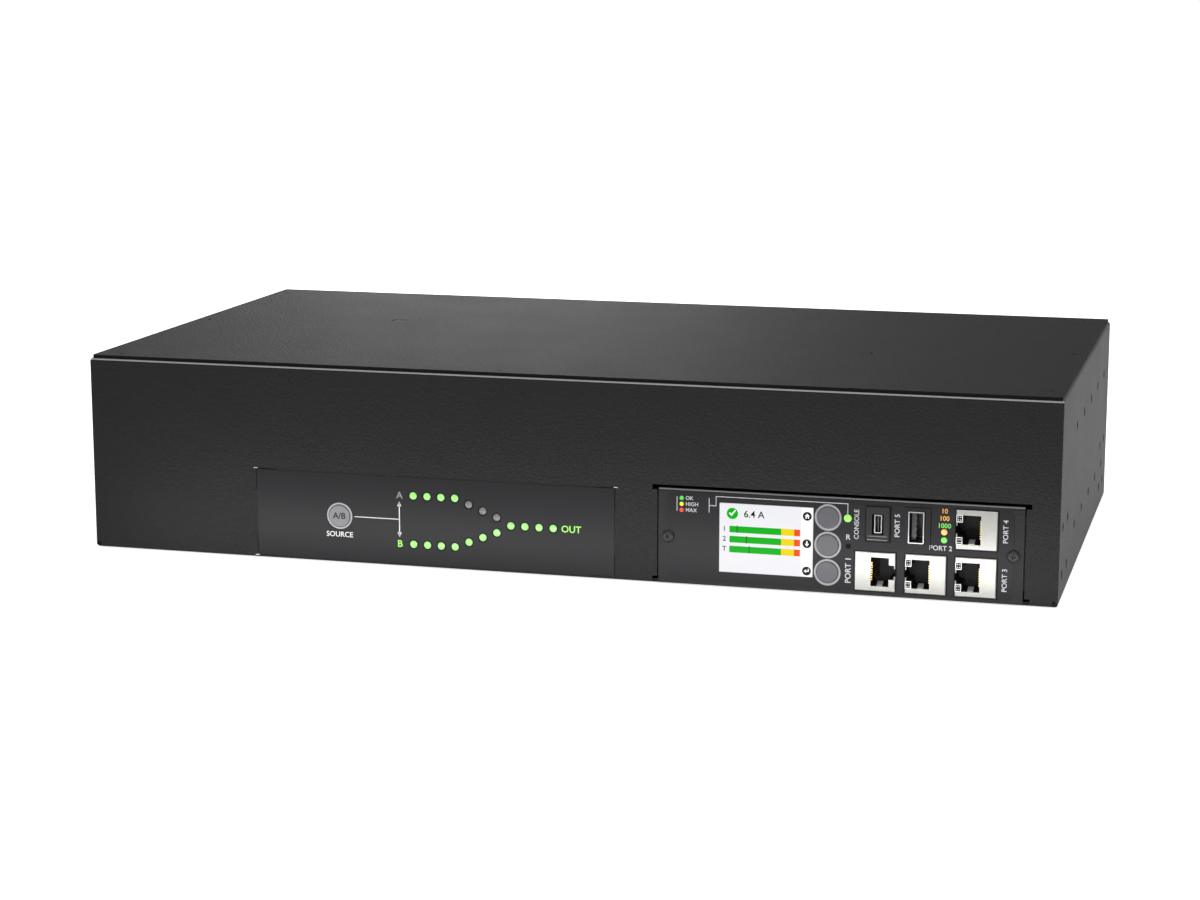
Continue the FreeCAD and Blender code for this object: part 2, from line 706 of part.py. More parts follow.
def push_button(x, z, radius, board_y):
    """A round cap with an eased edge, a flange that holds it behind the wall, and a stem that
    reaches its switch."""
    front = LABEL_FACE - BUTTON_PROUD
    flange_y = FRONT_INSIDE + PIN_FIT
    stem_end = board_y - SWITCH_HEIGHT
    return turned_y(x, z, [(0, front), (radius - BUTTON_EDGE, front), (radius, front + BUTTON_EDGE),
                           (radius, flange_y), (radius + FREE_FIT + BUTTON_FLANGE_RIM, flange_y),
                           (radius + FREE_FIT + BUTTON_FLANGE_RIM, flange_y + BUTTON_FLANGE),
                           (STEM_R, flange_y + BUTTON_FLANGE), (STEM_R, stem_end - BUTTON_TRAVEL - PIN_FIT),
                           (0, stem_end - BUTTON_TRAVEL - PIN_FIT)])


def tact_switch(x, z, board_y, side=SWITCH_SIDE):
    half = side / 2
    return block(x - half, x + half, board_y - SWITCH_HEIGHT, board_y, z - half, z + half)


def status_board():
    left = LABEL_LEFT + MARK_LENGTH
    right = LABEL_LEFT + LABEL_WIDTH - MARK_LENGTH
    return block(left, right, STATUS_BOARD_Y, STATUS_BOARD_Y + BOARD,
                 LABEL_BOTTOM + 2, LABEL_BOTTOM + LABEL_HEIGHT)


def module_faceplate():
    """The folded front of the module: its face, the flange along the top, and its openings."""
    face = block(MODULE_LEFT, MODULE_RIGHT, FRONT, FRONT_INSIDE, SHEET * 0.25, MODULE_TOP)
    flange = block(MODULE_LEFT, MODULE_RIGHT, FRONT, FRONT + MODULE_FLANGE, MODULE_TOP - SHEET, MODULE_TOP)
    plate = face.fuse(flange).removeSplitter()
    outer_bend = []
    for edge in edges_along(plate, (1, 0, 0)):
        point = edge.Vertexes[0].Point
        if abs(point.y - FRONT) < 0.01 and abs(point.z - MODULE_TOP) < 0.01:
            outer_bend.append(edge)
    plate = plate.makeFillet(BEND, outer_bend)
    cuts = module_windows(FRONT - 1, FRONT_INSIDE + 1, 0)
    for x in (MODULE_CENTRE - MODULE_SCREW_X, MODULE_CENTRE + MODULE_SCREW_X):
        cuts.append(pin_y(x, MODULE_SCREW_Z, MODULE_SCREW_R + THREAD_FIT, FRONT - 1, FRONT_INSIDE + 1))
    return plate.cut(cuts)


def module_windows(y0, y1, extra):
    """Openings for everything that shows through the module's face; extra widens them."""
    gap = WINDOW_GAP + extra
    cuts = [plate_y(LCD_X, LCD_Z, LCD_WIDTH + 2 * gap, LCD_HEIGHT + 2 * gap, y0, y1)]
    for z in DISPLAY_BUTTONS.values():
        cuts.append(pin_y(DISPLAY_BUTTON_X, z, DISPLAY_BUTTON_R + FREE_FIT + extra, y0, y1))
    cuts.append(pin_y(LAMP_X, LAMP_Z, LAMP_R + PIN_FIT + extra, y0, y1))
    cuts.append(pin_y(RESET_X, MIMIC_Z, RESET_HOLE_R + extra, y0, y1))
    for z in (ACTIVITY_LAMP_Z, LINK_LAMP_Z):
        cuts.append(pin_y(ACTIVITY_LAMP_X, z, SMALL_LAMP_R + PIN_FIT + extra, y0, y1))
    for x, z, latch_side in JACKS.values():
        cuts.append(plate_y(x, z, JACK_WIDTH + 2 * gap, JACK_HEIGHT + 2 * gap, y0, y1))
    cuts.append(plate_y(USB_X, USB_Z, USB_WIDTH + 2 * gap, USB_HEIGHT + 2 * gap, y0, y1))
    cuts.append(plate_y(CONSOLE_X, CONSOLE_Z, CONSOLE_BEZEL_WIDTH - 2 + 2 * extra,
                        CONSOLE_BEZEL_HEIGHT - 2 + 2 * extra, y0, y1))
    return cuts


def module_label():
    centre_x = MODULE_FILM_LEFT + MODULE_FILM_WIDTH / 2
    centre_z = MODULE_FILM_BOTTOM + MODULE_FILM_HEIGHT / 2
    film = plate_y(centre_x, centre_z, MODULE_FILM_WIDTH, MODULE_FILM_HEIGHT, LABEL_FACE, FRONT, FILM_CORNER)
    cuts = module_windows(LABEL_FACE - 1, FRONT + 1, 0)
    cuts.append(plate_y(CONSOLE_X, CONSOLE_Z, CONSOLE_BEZEL_WIDTH + 2 * PIN_FIT,
                        CONSOLE_BEZEL_HEIGHT + 2 * PIN_FIT, LABEL_FACE - 1, FRONT + 1))
    for x in (MODULE_CENTRE - MODULE_SCREW_X, MODULE_CENTRE + MODULE_SCREW_X):
        cuts.append(pin_y(x, MODULE_SCREW_Z, MODULE_SCREW_HEAD_R + FREE_FIT, LABEL_FACE - 1, FRONT + 1))
    return film.cut(cuts)


def module_screws():
    screws = []
    front = FRONT - MODULE_SCREW_HEAD
    for x in (MODULE_CENTRE - MODULE_SCREW_X, MODULE_CENTRE + MODULE_SCREW_X):
        screws.append(turned_y(x, MODULE_SCREW_Z, [
            (0, front), (MODULE_SCREW_HEAD_R * 0.6, front),
            (MODULE_SCREW_HEAD_R, front + MODULE_SCREW_HEAD / 2), (MODULE_SCREW_HEAD_R, FRONT),
            (MODULE_SCREW_R, FRONT), (MODULE_SCREW_R, FRONT + MODULE_SCREW_LENGTH),
            (0, FRONT + MODULE_SCREW_LENGTH)]))
    return screws


def module_board():
    left = MODULE_LEFT + SEAT_TAB + 2
    right = MODULE_RIGHT - SEAT_TAB - 0.5
    board = block(left, right, MODULE_BOARD_Y, MODULE_BOARD_Y + BOARD, FLOOR + 0.5, MODULE_TOP - SHEET - 0.5)
    pins = [pin_y(x, z, MODULE_POST_PIN_R + PIN_FIT, MODULE_BOARD_Y - 1, MODULE_BOARD_Y + BOARD + 1)
            for x, z in module_post_places()]
    return board.cut(pins)


def module_post_places():
    left = MODULE_LEFT + SEAT_TAB + 5
    right = MODULE_RIGHT - SEAT_TAB - 2.4
    return [(x, z) for x in (left, right) for z in (LINK_LAMP_Z - 19, LAMP_Z + 3)]


def module_posts():
    """Turned posts pressed on the back of the faceplate, each with a riveted pin through the board."""
    posts = []
    for x, z in module_post_places():
        posts.append(turned_y(x, z, [
            (0, FRONT_INSIDE), (MODULE_POST_R, FRONT_INSIDE), (MODULE_POST_R, MODULE_BOARD_Y),
            (MODULE_POST_PIN_R, MODULE_BOARD_Y), (MODULE_POST_PIN_R, MODULE_BOARD_Y + BOARD),
            (0, MODULE_BOARD_Y + BOARD)]))
    return posts


def lcd_display():
    """The glass of the display, flush with the label."""
    return plate_y(LCD_X, LCD_Z, LCD_WIDTH, LCD_HEIGHT, LABEL_FACE, LABEL_FACE + LCD_GLASS)


def lcd_holder():
    """A tray that carries the glass off the module's board."""
    back = MODULE_BOARD_Y
    front = LABEL_FACE + LCD_GLASS
    body = plate_y(LCD_X, LCD_Z, LCD_WIDTH, LCD_HEIGHT, front, back)
    rim = plate_y(LCD_X, LCD_Z, LCD_WIDTH + 2 * LCD_HOLDER_WALL, LCD_HEIGHT + 2 * LCD_HOLDER_WALL,
                  FRONT_INSIDE + PIN_FIT, back)
    hollow = plate_y(LCD_X, LCD_Z, LCD_WIDTH - 2 * LCD_HOLDER_WALL, LCD_HEIGHT - 2 * LCD_HOLDER_WALL,
                     front - 1, back - LCD_HOLDER_WALL)
    return body.fuse(rim).cut(hollow).removeSplitter()


def jack(x, z, latch_side):
    """A shielded jack with its latch notch to one side; the plug's cavity is stepped for the key."""
    front = LABEL_FACE - PORT_PROUD
    shell = plate_y(x, z, JACK_WIDTH, JACK_HEIGHT, front, MODULE_BOARD_Y)
    shell = shell.makeChamfer(JACK_EDGE, [edge for edge in shell.Edges
                                          if all(abs(v.Point.y - front) < 0.01 for v in edge.Vertexes)])
    centre = x + latch_side * JACK_CAVITY_SHIFT
    back = front + JACK_CAVITY_DEPTH
    cavity = plate_y(centre, z, JACK_CAVITY_WIDTH, JACK_CAVITY_HEIGHT, front - 1, back)
    notch_centre = centre + latch_side * (JACK_CAVITY_WIDTH + JACK_NOTCH) / 2
    notch = plate_y(notch_centre, z, JACK_NOTCH + 0.01, JACK_NOTCH_HEIGHT, front - 1, back)
    key_centre = notch_centre + latch_side * (JACK_NOTCH + JACK_KEYWAY) / 2
    key = plate_y(key_centre, z, JACK_KEYWAY + 0.01, JACK_KEYWAY_HEIGHT, front - 1, back)
    return shell.cut([cavity, notch, key])


def contacts(x, z, latch_side):
    """Eight sprung wires along the side of the cavity away from the latch, each a bent strip."""
    front = LABEL_FACE - PORT_PROUD
    wall = x + latch_side * (JACK_CAVITY_SHIFT - JACK_CAVITY_WIDTH / 2)
    back = front + JACK_CAVITY_DEPTH
    wires = []
    for k in range(CONTACT_COUNT):
        z0 = z + (k - (CONTACT_COUNT - 1) / 2) * CONTACT_PITCH - CONTACT_SIDE / 2
        outline = [(wall, back - CONTACT_LENGTH), (wall + latch_side * CONTACT_RISE, back - 1),
                   (wall + latch_side * CONTACT_RISE, back),
                   (wall + latch_side * (CONTACT_RISE - CONTACT_SIDE), back),
                   (wall, back - CONTACT_LENGTH + 1)]
        points = [V(px, py, z0) for px, py in outline]
        wires.append(Part.Face(Part.makePolygon(points + [points[0]])).extrude(V(0, 0, CONTACT_SIDE)))
    return wires


def usb_port():
    """A pressed shell round a moulded tongue."""
    front = LABEL_FACE - PORT_PROUD
    shell = plate_y(USB_X, USB_Z, USB_WIDTH, USB_HEIGHT, front, MODULE_BOARD_Y, USB_SHELL)
    hollow = plate_y(USB_X, USB_Z, USB_WIDTH - 2 * USB_SHELL, USB_HEIGHT - 2 * USB_SHELL,
                     front - 1, MODULE_BOARD_Y - 2)
    tongue = plate_y(USB_X - USB_TONGUE_SHIFT, USB_Z, USB_TONGUE, USB_HEIGHT - 2 * USB_SHELL - 1,
                     MODULE_BOARD_Y - 2 - USB_TONGUE_LENGTH, MODULE_BOARD_Y - 1)
    return shell.cut(hollow).fuse(tongue).removeSplitter()


def console_bezel():
    """A moulded bezel snapped into the faceplate round the console port."""
    front = LABEL_FACE - CONSOLE_BEZEL_PROUD
    rim = plate_y(CONSOLE_X, CONSOLE_Z, CONSOLE_BEZEL_WIDTH, CONSOLE_BEZEL_HEIGHT, front, FRONT)
    rim = rim.makeChamfer(JACK_EDGE, [edge for edge in rim.Edges
                                      if all(abs(v.Point.y - front) < 0.01 for v in edge.Vertexes)])
    neck = plate_y(CONSOLE_X, CONSOLE_Z, CONSOLE_BEZEL_WIDTH - 2 - 2 * PIN_FIT,
                   CONSOLE_BEZEL_HEIGHT - 2 - 2 * PIN_FIT,
                   FRONT - 0.1, FRONT_INSIDE + SHEET)
    hole = plate_y(CONSOLE_X, CONSOLE_Z, CONSOLE_HOLE_WIDTH, CONSOLE_HOLE_HEIGHT,
                   front - 1, FRONT_INSIDE + SHEET + 1)
    return rim.fuse(neck).cut(hole).removeSplitter()


def console_port():
    front = FRONT
    shell = plate_y(CONSOLE_X, CONSOLE_Z, CONSOLE_SHELL_WIDTH, CONSOLE_SHELL_HEIGHT, front, MODULE_BOARD_Y)
    hollow = plate_y(CONSOLE_X, CONSOLE_Z, CONSOLE_SHELL_WIDTH - 2 * USB_SHELL,
                     CONSOLE_SHELL_HEIGHT - 2 * USB_SHELL,
                     front - 1, front + 5)
    tongue = plate_y(CONSOLE_X, CONSOLE_Z, USB_SHELL, CONSOLE_SHELL_HEIGHT - 4 * USB_SHELL,
                     front + 1, front + 6)
    return shell.cut(hollow).fuse(tongue).removeSplitter()


def reset_switch():
    """The body of the reset switch, bored for its plunger."""
    body = tact_switch(RESET_X, MIMIC_Z, MODULE_BOARD_Y, RESET_SWITCH_SIDE)
    bore = pin_y(RESET_X, MIMIC_Z, PLUNGER_R + PIN_FIT,
                 MODULE_BOARD_Y - SWITCH_HEIGHT - 1, MODULE_BOARD_Y - 1)
    return body.cut(bore)


def reset_plunger():
    """A shouldered pin behind the pinhole, which presses into its switch."""
    front = FRONT_INSIDE + 1
    back = MODULE_BOARD_Y - 1 - RESET_TRAVEL - PIN_FIT
    shoulder = MODULE_BOARD_Y - SWITCH_HEIGHT - RESET_TRAVEL - PIN_FIT
    return turned_y(RESET_X, MIMIC_Z, [(0, front), (RESET_PIN_R, front), (PLUNGER_R, front + 1),
                                       (PLUNGER_R, shoulder), (PLUNGER_R, back), (0, back)])


def outlet_cuts(x, z, scale):
    """The moat round the outlet's island, with two cut corners, and the three contact slots."""
    front = REAR + OUTLET_RIM
    depth = MOAT_DEPTH * (1 + (scale - 1) / 2)

    def keyed(width, height, chamfer):
        w = width / 2
        h = height / 2
        points = [(-w, -h), (w, -h), (w, h - chamfer), (w - chamfer, h), (-w + chamfer, h), (-w, h - chamfer)]
        corners = [V(x + px, front - depth, z + pz) for px, pz in points]
        return Part.Face(Part.makePolygon(corners + [corners[0]]))

    width = MOAT_WIDTH * scale
    height = MOAT_HEIGHT * scale
    outer = keyed(width, height, MOAT_CHAMFER * scale).extrude(V(0, depth + 1, 0))
    island = keyed(width - 2 * MOAT, height - 2 * MOAT, MOAT_CHAMFER * scale - 0.6 * MOAT)
    inner = island.extrude(V(0, depth - 1, 0))
    slots = []
    for dx, dz in ((-SLOT_SPREAD, -SLOT_RISE), (SLOT_SPREAD, -SLOT_RISE), (0, SLOT_RISE)):
        wide, tall = (SLOT_WIDTH, SLOT_LENGTH) if scale == 1 else (SLOT_LENGTH * scale, SLOT_WIDTH * scale)
        slots.append(plate_y(x + dx * scale, z + dz * scale, wide, tall, front - depth, front + 1))
    return [outer.cut(inner)] + slots


def outlet_strip(x, z):
    """Four outlets in one moulding, snapped into the rear wall behind a thin rim."""
    width = OUTLETS_IN_STRIP * OUTLET_PITCH
    body = plate_y(x, z, width, OUTLET_HEIGHT, REAR - OUTLET_DEPTH, REAR)
    rim = plate_y(x, z, width + 2 * OUTLET_RIM_LIP, OUTLET_HEIGHT + 2 * OUTLET_RIM_LIP,
                  REAR, REAR + OUTLET_RIM, 1.5)
    cuts = []
    for k in range(OUTLETS_IN_STRIP):
        cuts += outlet_cuts(x + (k - (OUTLETS_IN_STRIP - 1) / 2) * OUTLET_PITCH, z, 1)
    return body.fuse(rim).cut(cuts)


def large_outlet(z):
    width = LARGE_SCALE * OUTLET_PITCH
    height = LARGE_SCALE * OUTLET_HEIGHT
    body = plate_y(LARGE_OUTLET_X, z, width, height, REAR - OUTLET_DEPTH, REAR)
    rim = plate_y(LARGE_OUTLET_X, z, width + 2 * OUTLET_RIM_LIP, height + 2 * OUTLET_RIM_LIP,
                  REAR, REAR + OUTLET_RIM, 1.5)
    return body.fuse(rim).cut(outlet_cuts(LARGE_OUTLET_X, z, LARGE_SCALE))


def breaker(x):
    """A flush breaker: a body behind the wall, a rim, and the slot in which its handle swings."""
    body = plate_y(x, BREAKER_Z, BREAKER_WIDTH, BREAKER_HEIGHT, REAR - BREAKER_DEPTH, REAR)
    rim = plate_y(x, BREAKER_Z, BREAKER_WIDTH + 2 * BREAKER_LIP, BREAKER_HEIGHT + 2 * BREAKER_LIP,
                  REAR, REAR + BREAKER_RIM, 1.0)
    slot = plate_y(x, BREAKER_Z, BREAKER_SLOT_WIDTH, BREAKER_SLOT_HEIGHT,
                   REAR - BREAKER_POCKET, REAR + BREAKER_RIM + 1)
    pin = rod((x - BREAKER_SLOT_WIDTH, REAR - BREAKER_POCKET / 2, BREAKER_Z), (1, 0, 0),
              HANDLE_PIN_R + PIN_FIT, 2 * BREAKER_SLOT_WIDTH)
    back = REAR - BREAKER_DEPTH
    tabs = [plate_y(x, BREAKER_Z + dz, BREAKER_TAB_WIDTH, BREAKER_TAB_THICKNESS, back - BREAKER_TAB, back)
            for dz in (-BREAKER_TAB_SPREAD, BREAKER_TAB_SPREAD)]
    return body.fuse([rim] + tabs).cut([slot, pin]).removeSplitter()


def breaker_handle(x):
    """A toggle with its own pivot pins, tilted to the closed position."""
    pivot_y = REAR - BREAKER_POCKET / 2
    half = HANDLE_THICKNESS / 2
    hub = rod((x - half, pivot_y, BREAKER_Z), (1, 0, 0), HANDLE_R, HANDLE_THICKNESS)
    tip_y = pivot_y + HANDLE_REACH
    outline = [V(x - half, pivot_y, BREAKER_Z - HANDLE_R), V(x - half, tip_y, BREAKER_Z - 1.8),
               V(x - half, tip_y, BREAKER_Z + 1.8), V(x - half, pivot_y, BREAKER_Z + HANDLE_R)]
    lever = Part.Face(Part.makePolygon(outline + [outline[0]])).extrude(V(HANDLE_THICKNESS, 0, 0))
    pins = rod((x - BREAKER_SLOT_WIDTH + 0.5, pivot_y, BREAKER_Z), (1, 0, 0),
               HANDLE_PIN_R, 2 * BREAKER_SLOT_WIDTH - 1)
    handle = hub.fuse([lever, pins]).removeSplitter()
    handle.rotate(V(x, pivot_y, BREAKER_Z), V(1, 0, 0), HANDLE_TILT)
    return handle


def gland(z):
    """A gland's body: a hexagon outside the wall and a hollow threaded tail through it."""
    hexagon = hexagon_y(GLAND_X, z, GLAND_ACROSS_FLATS, REAR, REAR + GLAND_HEX)
    tail = rod_y(GLAND_X, z, GLAND_THREAD_R, REAR_INSIDE - GLAND_TAIL, REAR)
    collar = rod_y(GLAND_X, z, GLAND_THREAD_R - 1, REAR + GLAND_HEX, REAR + GLAND_HEX + GLAND_COLLAR)
    bore = rod_y(GLAND_X, z, GLAND_BORE_R, REAR_INSIDE - GLAND_TAIL - 1, REAR + GLAND_HEX + GLAND_COLLAR + 1)
    return hexagon.fuse([tail, collar]).cut(bore).removeSplitter()


def gland_dome(z):
    """The clamping nut that closes over the gland's collar."""
    start = REAR + GLAND_HEX
    hexagon = hexagon_y(GLAND_X, z, GLAND_ACROSS_FLATS, start, start + 9)
    nose = turned_y(GLAND_X, z, [(0, start + 8), (GLAND_DOME_R, start + 8), (GLAND_DOME_R, start + 11),
                                 (GLAND_BORE_R + 2, start + 16), (0, start + 16)])
    widen = 1 / math.cos(math.pi / ROUND_SIDES)
    thread_r = (GLAND_THREAD_R - 1 + THREAD_FIT) * widen
    mouth_r = GLAND_BORE_R * widen
    inner = turned_y(GLAND_X, z, [(0, start - 1), (thread_r, start - 1), (thread_r, start + GLAND_COLLAR),
                                  (mouth_r, start + GLAND_COLLAR), (mouth_r, start + 17), (0, start + 17)])
    return hexagon.fuse(nose).cut(inner).removeSplitter()


def gland_locknuts():
    nuts = []
    for z in GLANDS.values():
        nut = hexagon_y(GLAND_X, z, GLAND_ACROSS_FLATS, REAR_INSIDE - GLAND_NUT, REAR_INSIDE)
        bore = rod_y(GLAND_X, z, GLAND_THREAD_R + THREAD_FIT, REAR_INSIDE - GLAND_NUT - 1, REAR)
        nuts.append(nut.cut(bore))
    return nuts


def ground_screw():
    """A flanged screw for the protective earth, tapped into the rear wall."""
    head = REAR + GROUND_FLANGE
    tip = REAR - GROUND_SCREW_LENGTH
    return turned_y(GROUND_X, GROUND_Z, [
        (0, tip), (GROUND_SCREW_R, tip), (GROUND_SCREW_R, REAR), (GROUND_FLANGE_R, REAR),
        (GROUND_FLANGE_R, head), (GROUND_HEAD_R, head), (GROUND_HEAD_R, head + GROUND_HEAD),
        (0, head + GROUND_HEAD)])


def power_board():
    board = block(POWER_BOARD_X - POWER_BOARD_WIDTH / 2, POWER_BOARD_X + POWER_BOARD_WIDTH / 2,
                  POWER_BOARD_Y - POWER_BOARD_DEPTH / 2, POWER_BOARD_Y + POWER_BOARD_DEPTH / 2,
                  FLOOR + STANDOFF, BOARD_TOP)
    return board.cut([pin_z(x, y, BOARD_SCREW_R + THREAD_FIT, FLOOR, BOARD_TOP + 1)
                      for x, y in standoff_places()])


def board_standoffs():
    """Clinched standoffs, each with its foot through the floor and a tapped bore."""
    bore = BOARD_SCREW_R + THREAD_FIT
    top = FLOOR + STANDOFF
    return [turned_z(x, y, [(bore, 0), (STANDOFF_FOOT_R, 0), (STANDOFF_FOOT_R, FLOOR), (STANDOFF_R, FLOOR),
                            (STANDOFF_R, top), (bore, top)]) for x, y in standoff_places()]


def board_screws():
    base = BOARD_TOP
    return [turned_z(x, y, [(0, base + BOARD_SCREW_HEAD), (BOARD_SCREW_HEAD_R, base + BOARD_SCREW_HEAD),
                            (BOARD_SCREW_HEAD_R, base),
                            (BOARD_SCREW_R, base), (BOARD_SCREW_R, base - BOARD_SCREW_LENGTH),
                            (0, base - BOARD_SCREW_LENGTH)]) for x, y in standoff_places()]


def insulating_sheet():
    """A thin sheet on the floor under the power board, with a square cut round each standoff."""
    half_x = POWER_BOARD_WIDTH / 2 + 2 * BOARD_HOLE_EDGE
    half_y = POWER_BOARD_DEPTH / 2 + 2 * BOARD_HOLE_EDGE
    sheet = block(POWER_BOARD_X - half_x, POWER_BOARD_X + half_x, POWER_BOARD_Y - half_y,
                  POWER_BOARD_Y + half_y, FLOOR, FLOOR + INSULATOR)
    side = STANDOFF_R + FREE_FIT
    return sheet.cut([block(x - side, x + side, y - side, y + side, 0, BOARD_TOP)
                      for x, y in standoff_places()])


def relay(x, y):
    """A sealed power relay: a case with eased top edges on a narrower foot."""
    case = block(x - RELAY_WIDTH / 2, x + RELAY_WIDTH / 2, y - RELAY_DEPTH / 2, y + RELAY_DEPTH / 2,
                 BOARD_TOP + RELAY_FOOT, BOARD_TOP + RELAY_HEIGHT)
    height = case.BoundBox.ZMax
    top = [edge for edge in case.Edges if all(abs(v.Point.z - height) < 0.01 for v in edge.Vertexes)]
    case = case.makeChamfer(1, top)
    foot = block(x - RELAY_WIDTH / 2 + 1, x + RELAY_WIDTH / 2 - 1,
                 y - RELAY_DEPTH / 2 + 1, y + RELAY_DEPTH / 2 - 1, BOARD_TOP, BOARD_TOP + RELAY_FOOT)
    return case.fuse(foot).removeSplitter()


def supply_transformer(x, y):
    """A laminated core lying round a wound bobbin."""
    half_w = TRANSFORMER_WIDTH / 2
    half_d = TRANSFORMER_DEPTH / 2
    top = BOARD_TOP + TRANSFORMER_HEIGHT
    core = block(x - half_w, x + half_w, y - half_d * 0.55, y + half_d * 0.55, BOARD_TOP + 2, top)
    bobbin = block(x - half_w * 0.6, x + half_w * 0.6, y - half_d, y + half_d, BOARD_TOP, top - 4)
    return core.fuse(bobbin).removeSplitter()


def current_sensor(x, y):
    """A ring transformer standing on the board, flattened where it meets it."""
    centre_z = BOARD_TOP + SENSOR_R - 1
    ring = pin_y(x, centre_z, SENSOR_R, y - SENSOR_WIDTH / 2, y + SENSOR_WIDTH / 2)
    foot = block(x - SENSOR_R + 2, x + SENSOR_R - 2, y - SENSOR_WIDTH / 2, y + SENSOR_WIDTH / 2,
                 BOARD_TOP, BOARD_TOP + 4)
    below = block(x - 2 * SENSOR_R, x + 2 * SENSOR_R, y - SENSOR_WIDTH, y + SENSOR_WIDTH,
                  BOARD_TOP - 4, BOARD_TOP)
    bore = pin_y(x, centre_z, SENSOR_BORE_R, y - SENSOR_WIDTH, y + SENSOR_WIDTH)
    return ring.fuse(foot).cut([below, bore]).removeSplitter()


def storage_capacitors():
    columns = [CAPACITOR_X + k * CAPACITOR_PITCH for k in range(CAPACITOR_COUNT)]
    return [pin_z(x, CAPACITOR_Y, CAPACITOR_R, BOARD_TOP, BOARD_TOP + CAPACITOR_HEIGHT) for x in columns]


def terminal_block(x, y, poles):
    """A row of screw terminals with a well over each screw and a mouth for each core."""
    width = poles * TERMINAL_PITCH
    body = block(x - width / 2, x + width / 2, y - TERMINAL_DEPTH / 2, y + TERMINAL_DEPTH / 2,
                 BOARD_TOP, BOARD_TOP + TERMINAL_HEIGHT)
    cuts = []
    for k in range(poles):
        px = x + (k - (poles - 1) / 2) * TERMINAL_PITCH
        cuts.append(block(px - TERMINAL_WELL / 2, px + TERMINAL_WELL / 2,
                          y - 2 - TERMINAL_WELL / 2, y - 2 + TERMINAL_WELL / 2,
                          BOARD_TOP + TERMINAL_HEIGHT - 5, BOARD_TOP + TERMINAL_HEIGHT + 1))
        cuts.append(plate_y(px, BOARD_TOP + TERMINAL_MOUTH_Z, TERMINAL_MOUTH, TERMINAL_MOUTH,
                            y + TERMINAL_DEPTH / 2 - TERMINAL_MOUTH, y + TERMINAL_DEPTH / 2 + 1))
    return body.cut(cuts)


def lead(points):
    """An insulated single core along its route, with a six-sided section."""
    path, radii = rounded_path(points)
    start = V(*points[0])
    ahead = V(*points[1]) - start
    ahead.normalize()
    across = ahead.cross(V(0, 0, 1))
    across.normalize()
    upright = ahead.cross(across)
    corners = []
    for k in range(6):
        angle = math.radians(60 * k)
        corners.append(start + across * (LEAD_R * math.cos(angle)) + upright * (LEAD_R * math.sin(angle)))
    section = Part.makePolygon(corners + [corners[0]])
    tube = path.makePipeShell([section], True, False)
    expected = Part.Face(section).Area * path.Length
    print("lead radii", radii, "volume ratio", round(tube.Volume / expected, 4))
    return tube


def relay_columns():
    return [RELAY_FIRST_X - k * RELAY_PITCH for k in range(RELAY_COUNT)]


def sensor_columns():
    """Each ring stands round the core that leaves the left pole of an output terminal."""
    return [x - TERMINAL_PITCH / 2 for x in (OUTPUT_TERMINAL_1_X, OUTPUT_TERMINAL_2_X)]


def lead_routes():
    """Four cores: from each output terminal to its breaker, and from each breaker to its outlets."""
    mouth_y = OUTPUT_TERMINAL_Y + TERMINAL_DEPTH / 2 - TERMINAL_MOUTH
    mouth_z = BOARD_TOP + TERMINAL_MOUTH_Z
    ring_z = BOARD_TOP + SENSOR_R - 1
    tab_y = REAR - BREAKER_DEPTH - BREAKER_TAB
    low_z = BREAKER_Z - BREAKER_TAB_SPREAD
    high_z = BREAKER_Z + BREAKER_TAB_SPREAD
    strip_y = REAR - OUTLET_DEPTH
    x1, x2 = sensor_columns()
    return [
        [(x1, mouth_y, mouth_z), (x1, -32, mouth_z), (x1, SENSOR_Y, ring_z), (x1 + 1, -5, 23),
         (134, 14, 26), (145, 33, 31), (BREAKER_1_X, 52, low_z), (BREAKER_1_X, tab_y, low_z)],
        [(x2, mouth_y, mouth_z), (x2, -32, mouth_z), (x2, SENSOR_Y, ring_z), (x2 - 1, -5, 23),
         (-140, 14, 26), (-158, 32, 31), (-178, 42, 36), (BREAKER_2_X, 54, low_z),
         (BREAKER_2_X, tab_y, low_z)],
        [(BREAKER_1_X, tab_y, high_z), (BREAKER_1_X, 54, 62), (146, 42, 62), (130, 42, 62),
         (119, 55, 62), (118, 74, UPPER_ROW_Z), (118, strip_y, UPPER_ROW_Z)],
        [(BREAKER_2_X, tab_y, high_z), (BREAKER_2_X, 54, 62), (-175, 42, 62), (-159, 42, 62),
         (-148, 55, 62), (-147, 74, UPPER_ROW_Z), (-147, strip_y, UPPER_ROW_Z)],
    ]


def header_y(x, z, board_back, width, height):
    """A connector standing on the back of an upright board."""
    return plate_y(x, z, width, height, board_back, board_back + HEADER_DEPTH)


def board_headers():
    status_back = STATUS_BOARD_Y + BOARD
    module_back = MODULE_BOARD_Y + BOARD
    return [
        header_y(STATUS_HEADER_X, MIMIC_Z, status_back, HEADER_THICKNESS, HEADER_WIDTH),
        header_y(MODULE_HEADER_X, MIMIC_Z, module_back, HEADER_THICKNESS, HEADER_WIDTH),
        header_y(CONTROL_HEADER_X, CONTROL_HEADER_Z, module_back, HEADER_WIDTH, HEADER_THICKNESS),
        block(CONTROL_HEADER_X - HEADER_WIDTH / 2, CONTROL_HEADER_X + HEADER_WIDTH / 2,
              CONTROL_HEADER_Y - HEADER_THICKNESS / 2, CONTROL_HEADER_Y + HEADER_THICKNESS / 2,
              BOARD_TOP, BOARD_TOP + HEADER_DEPTH),
    ]


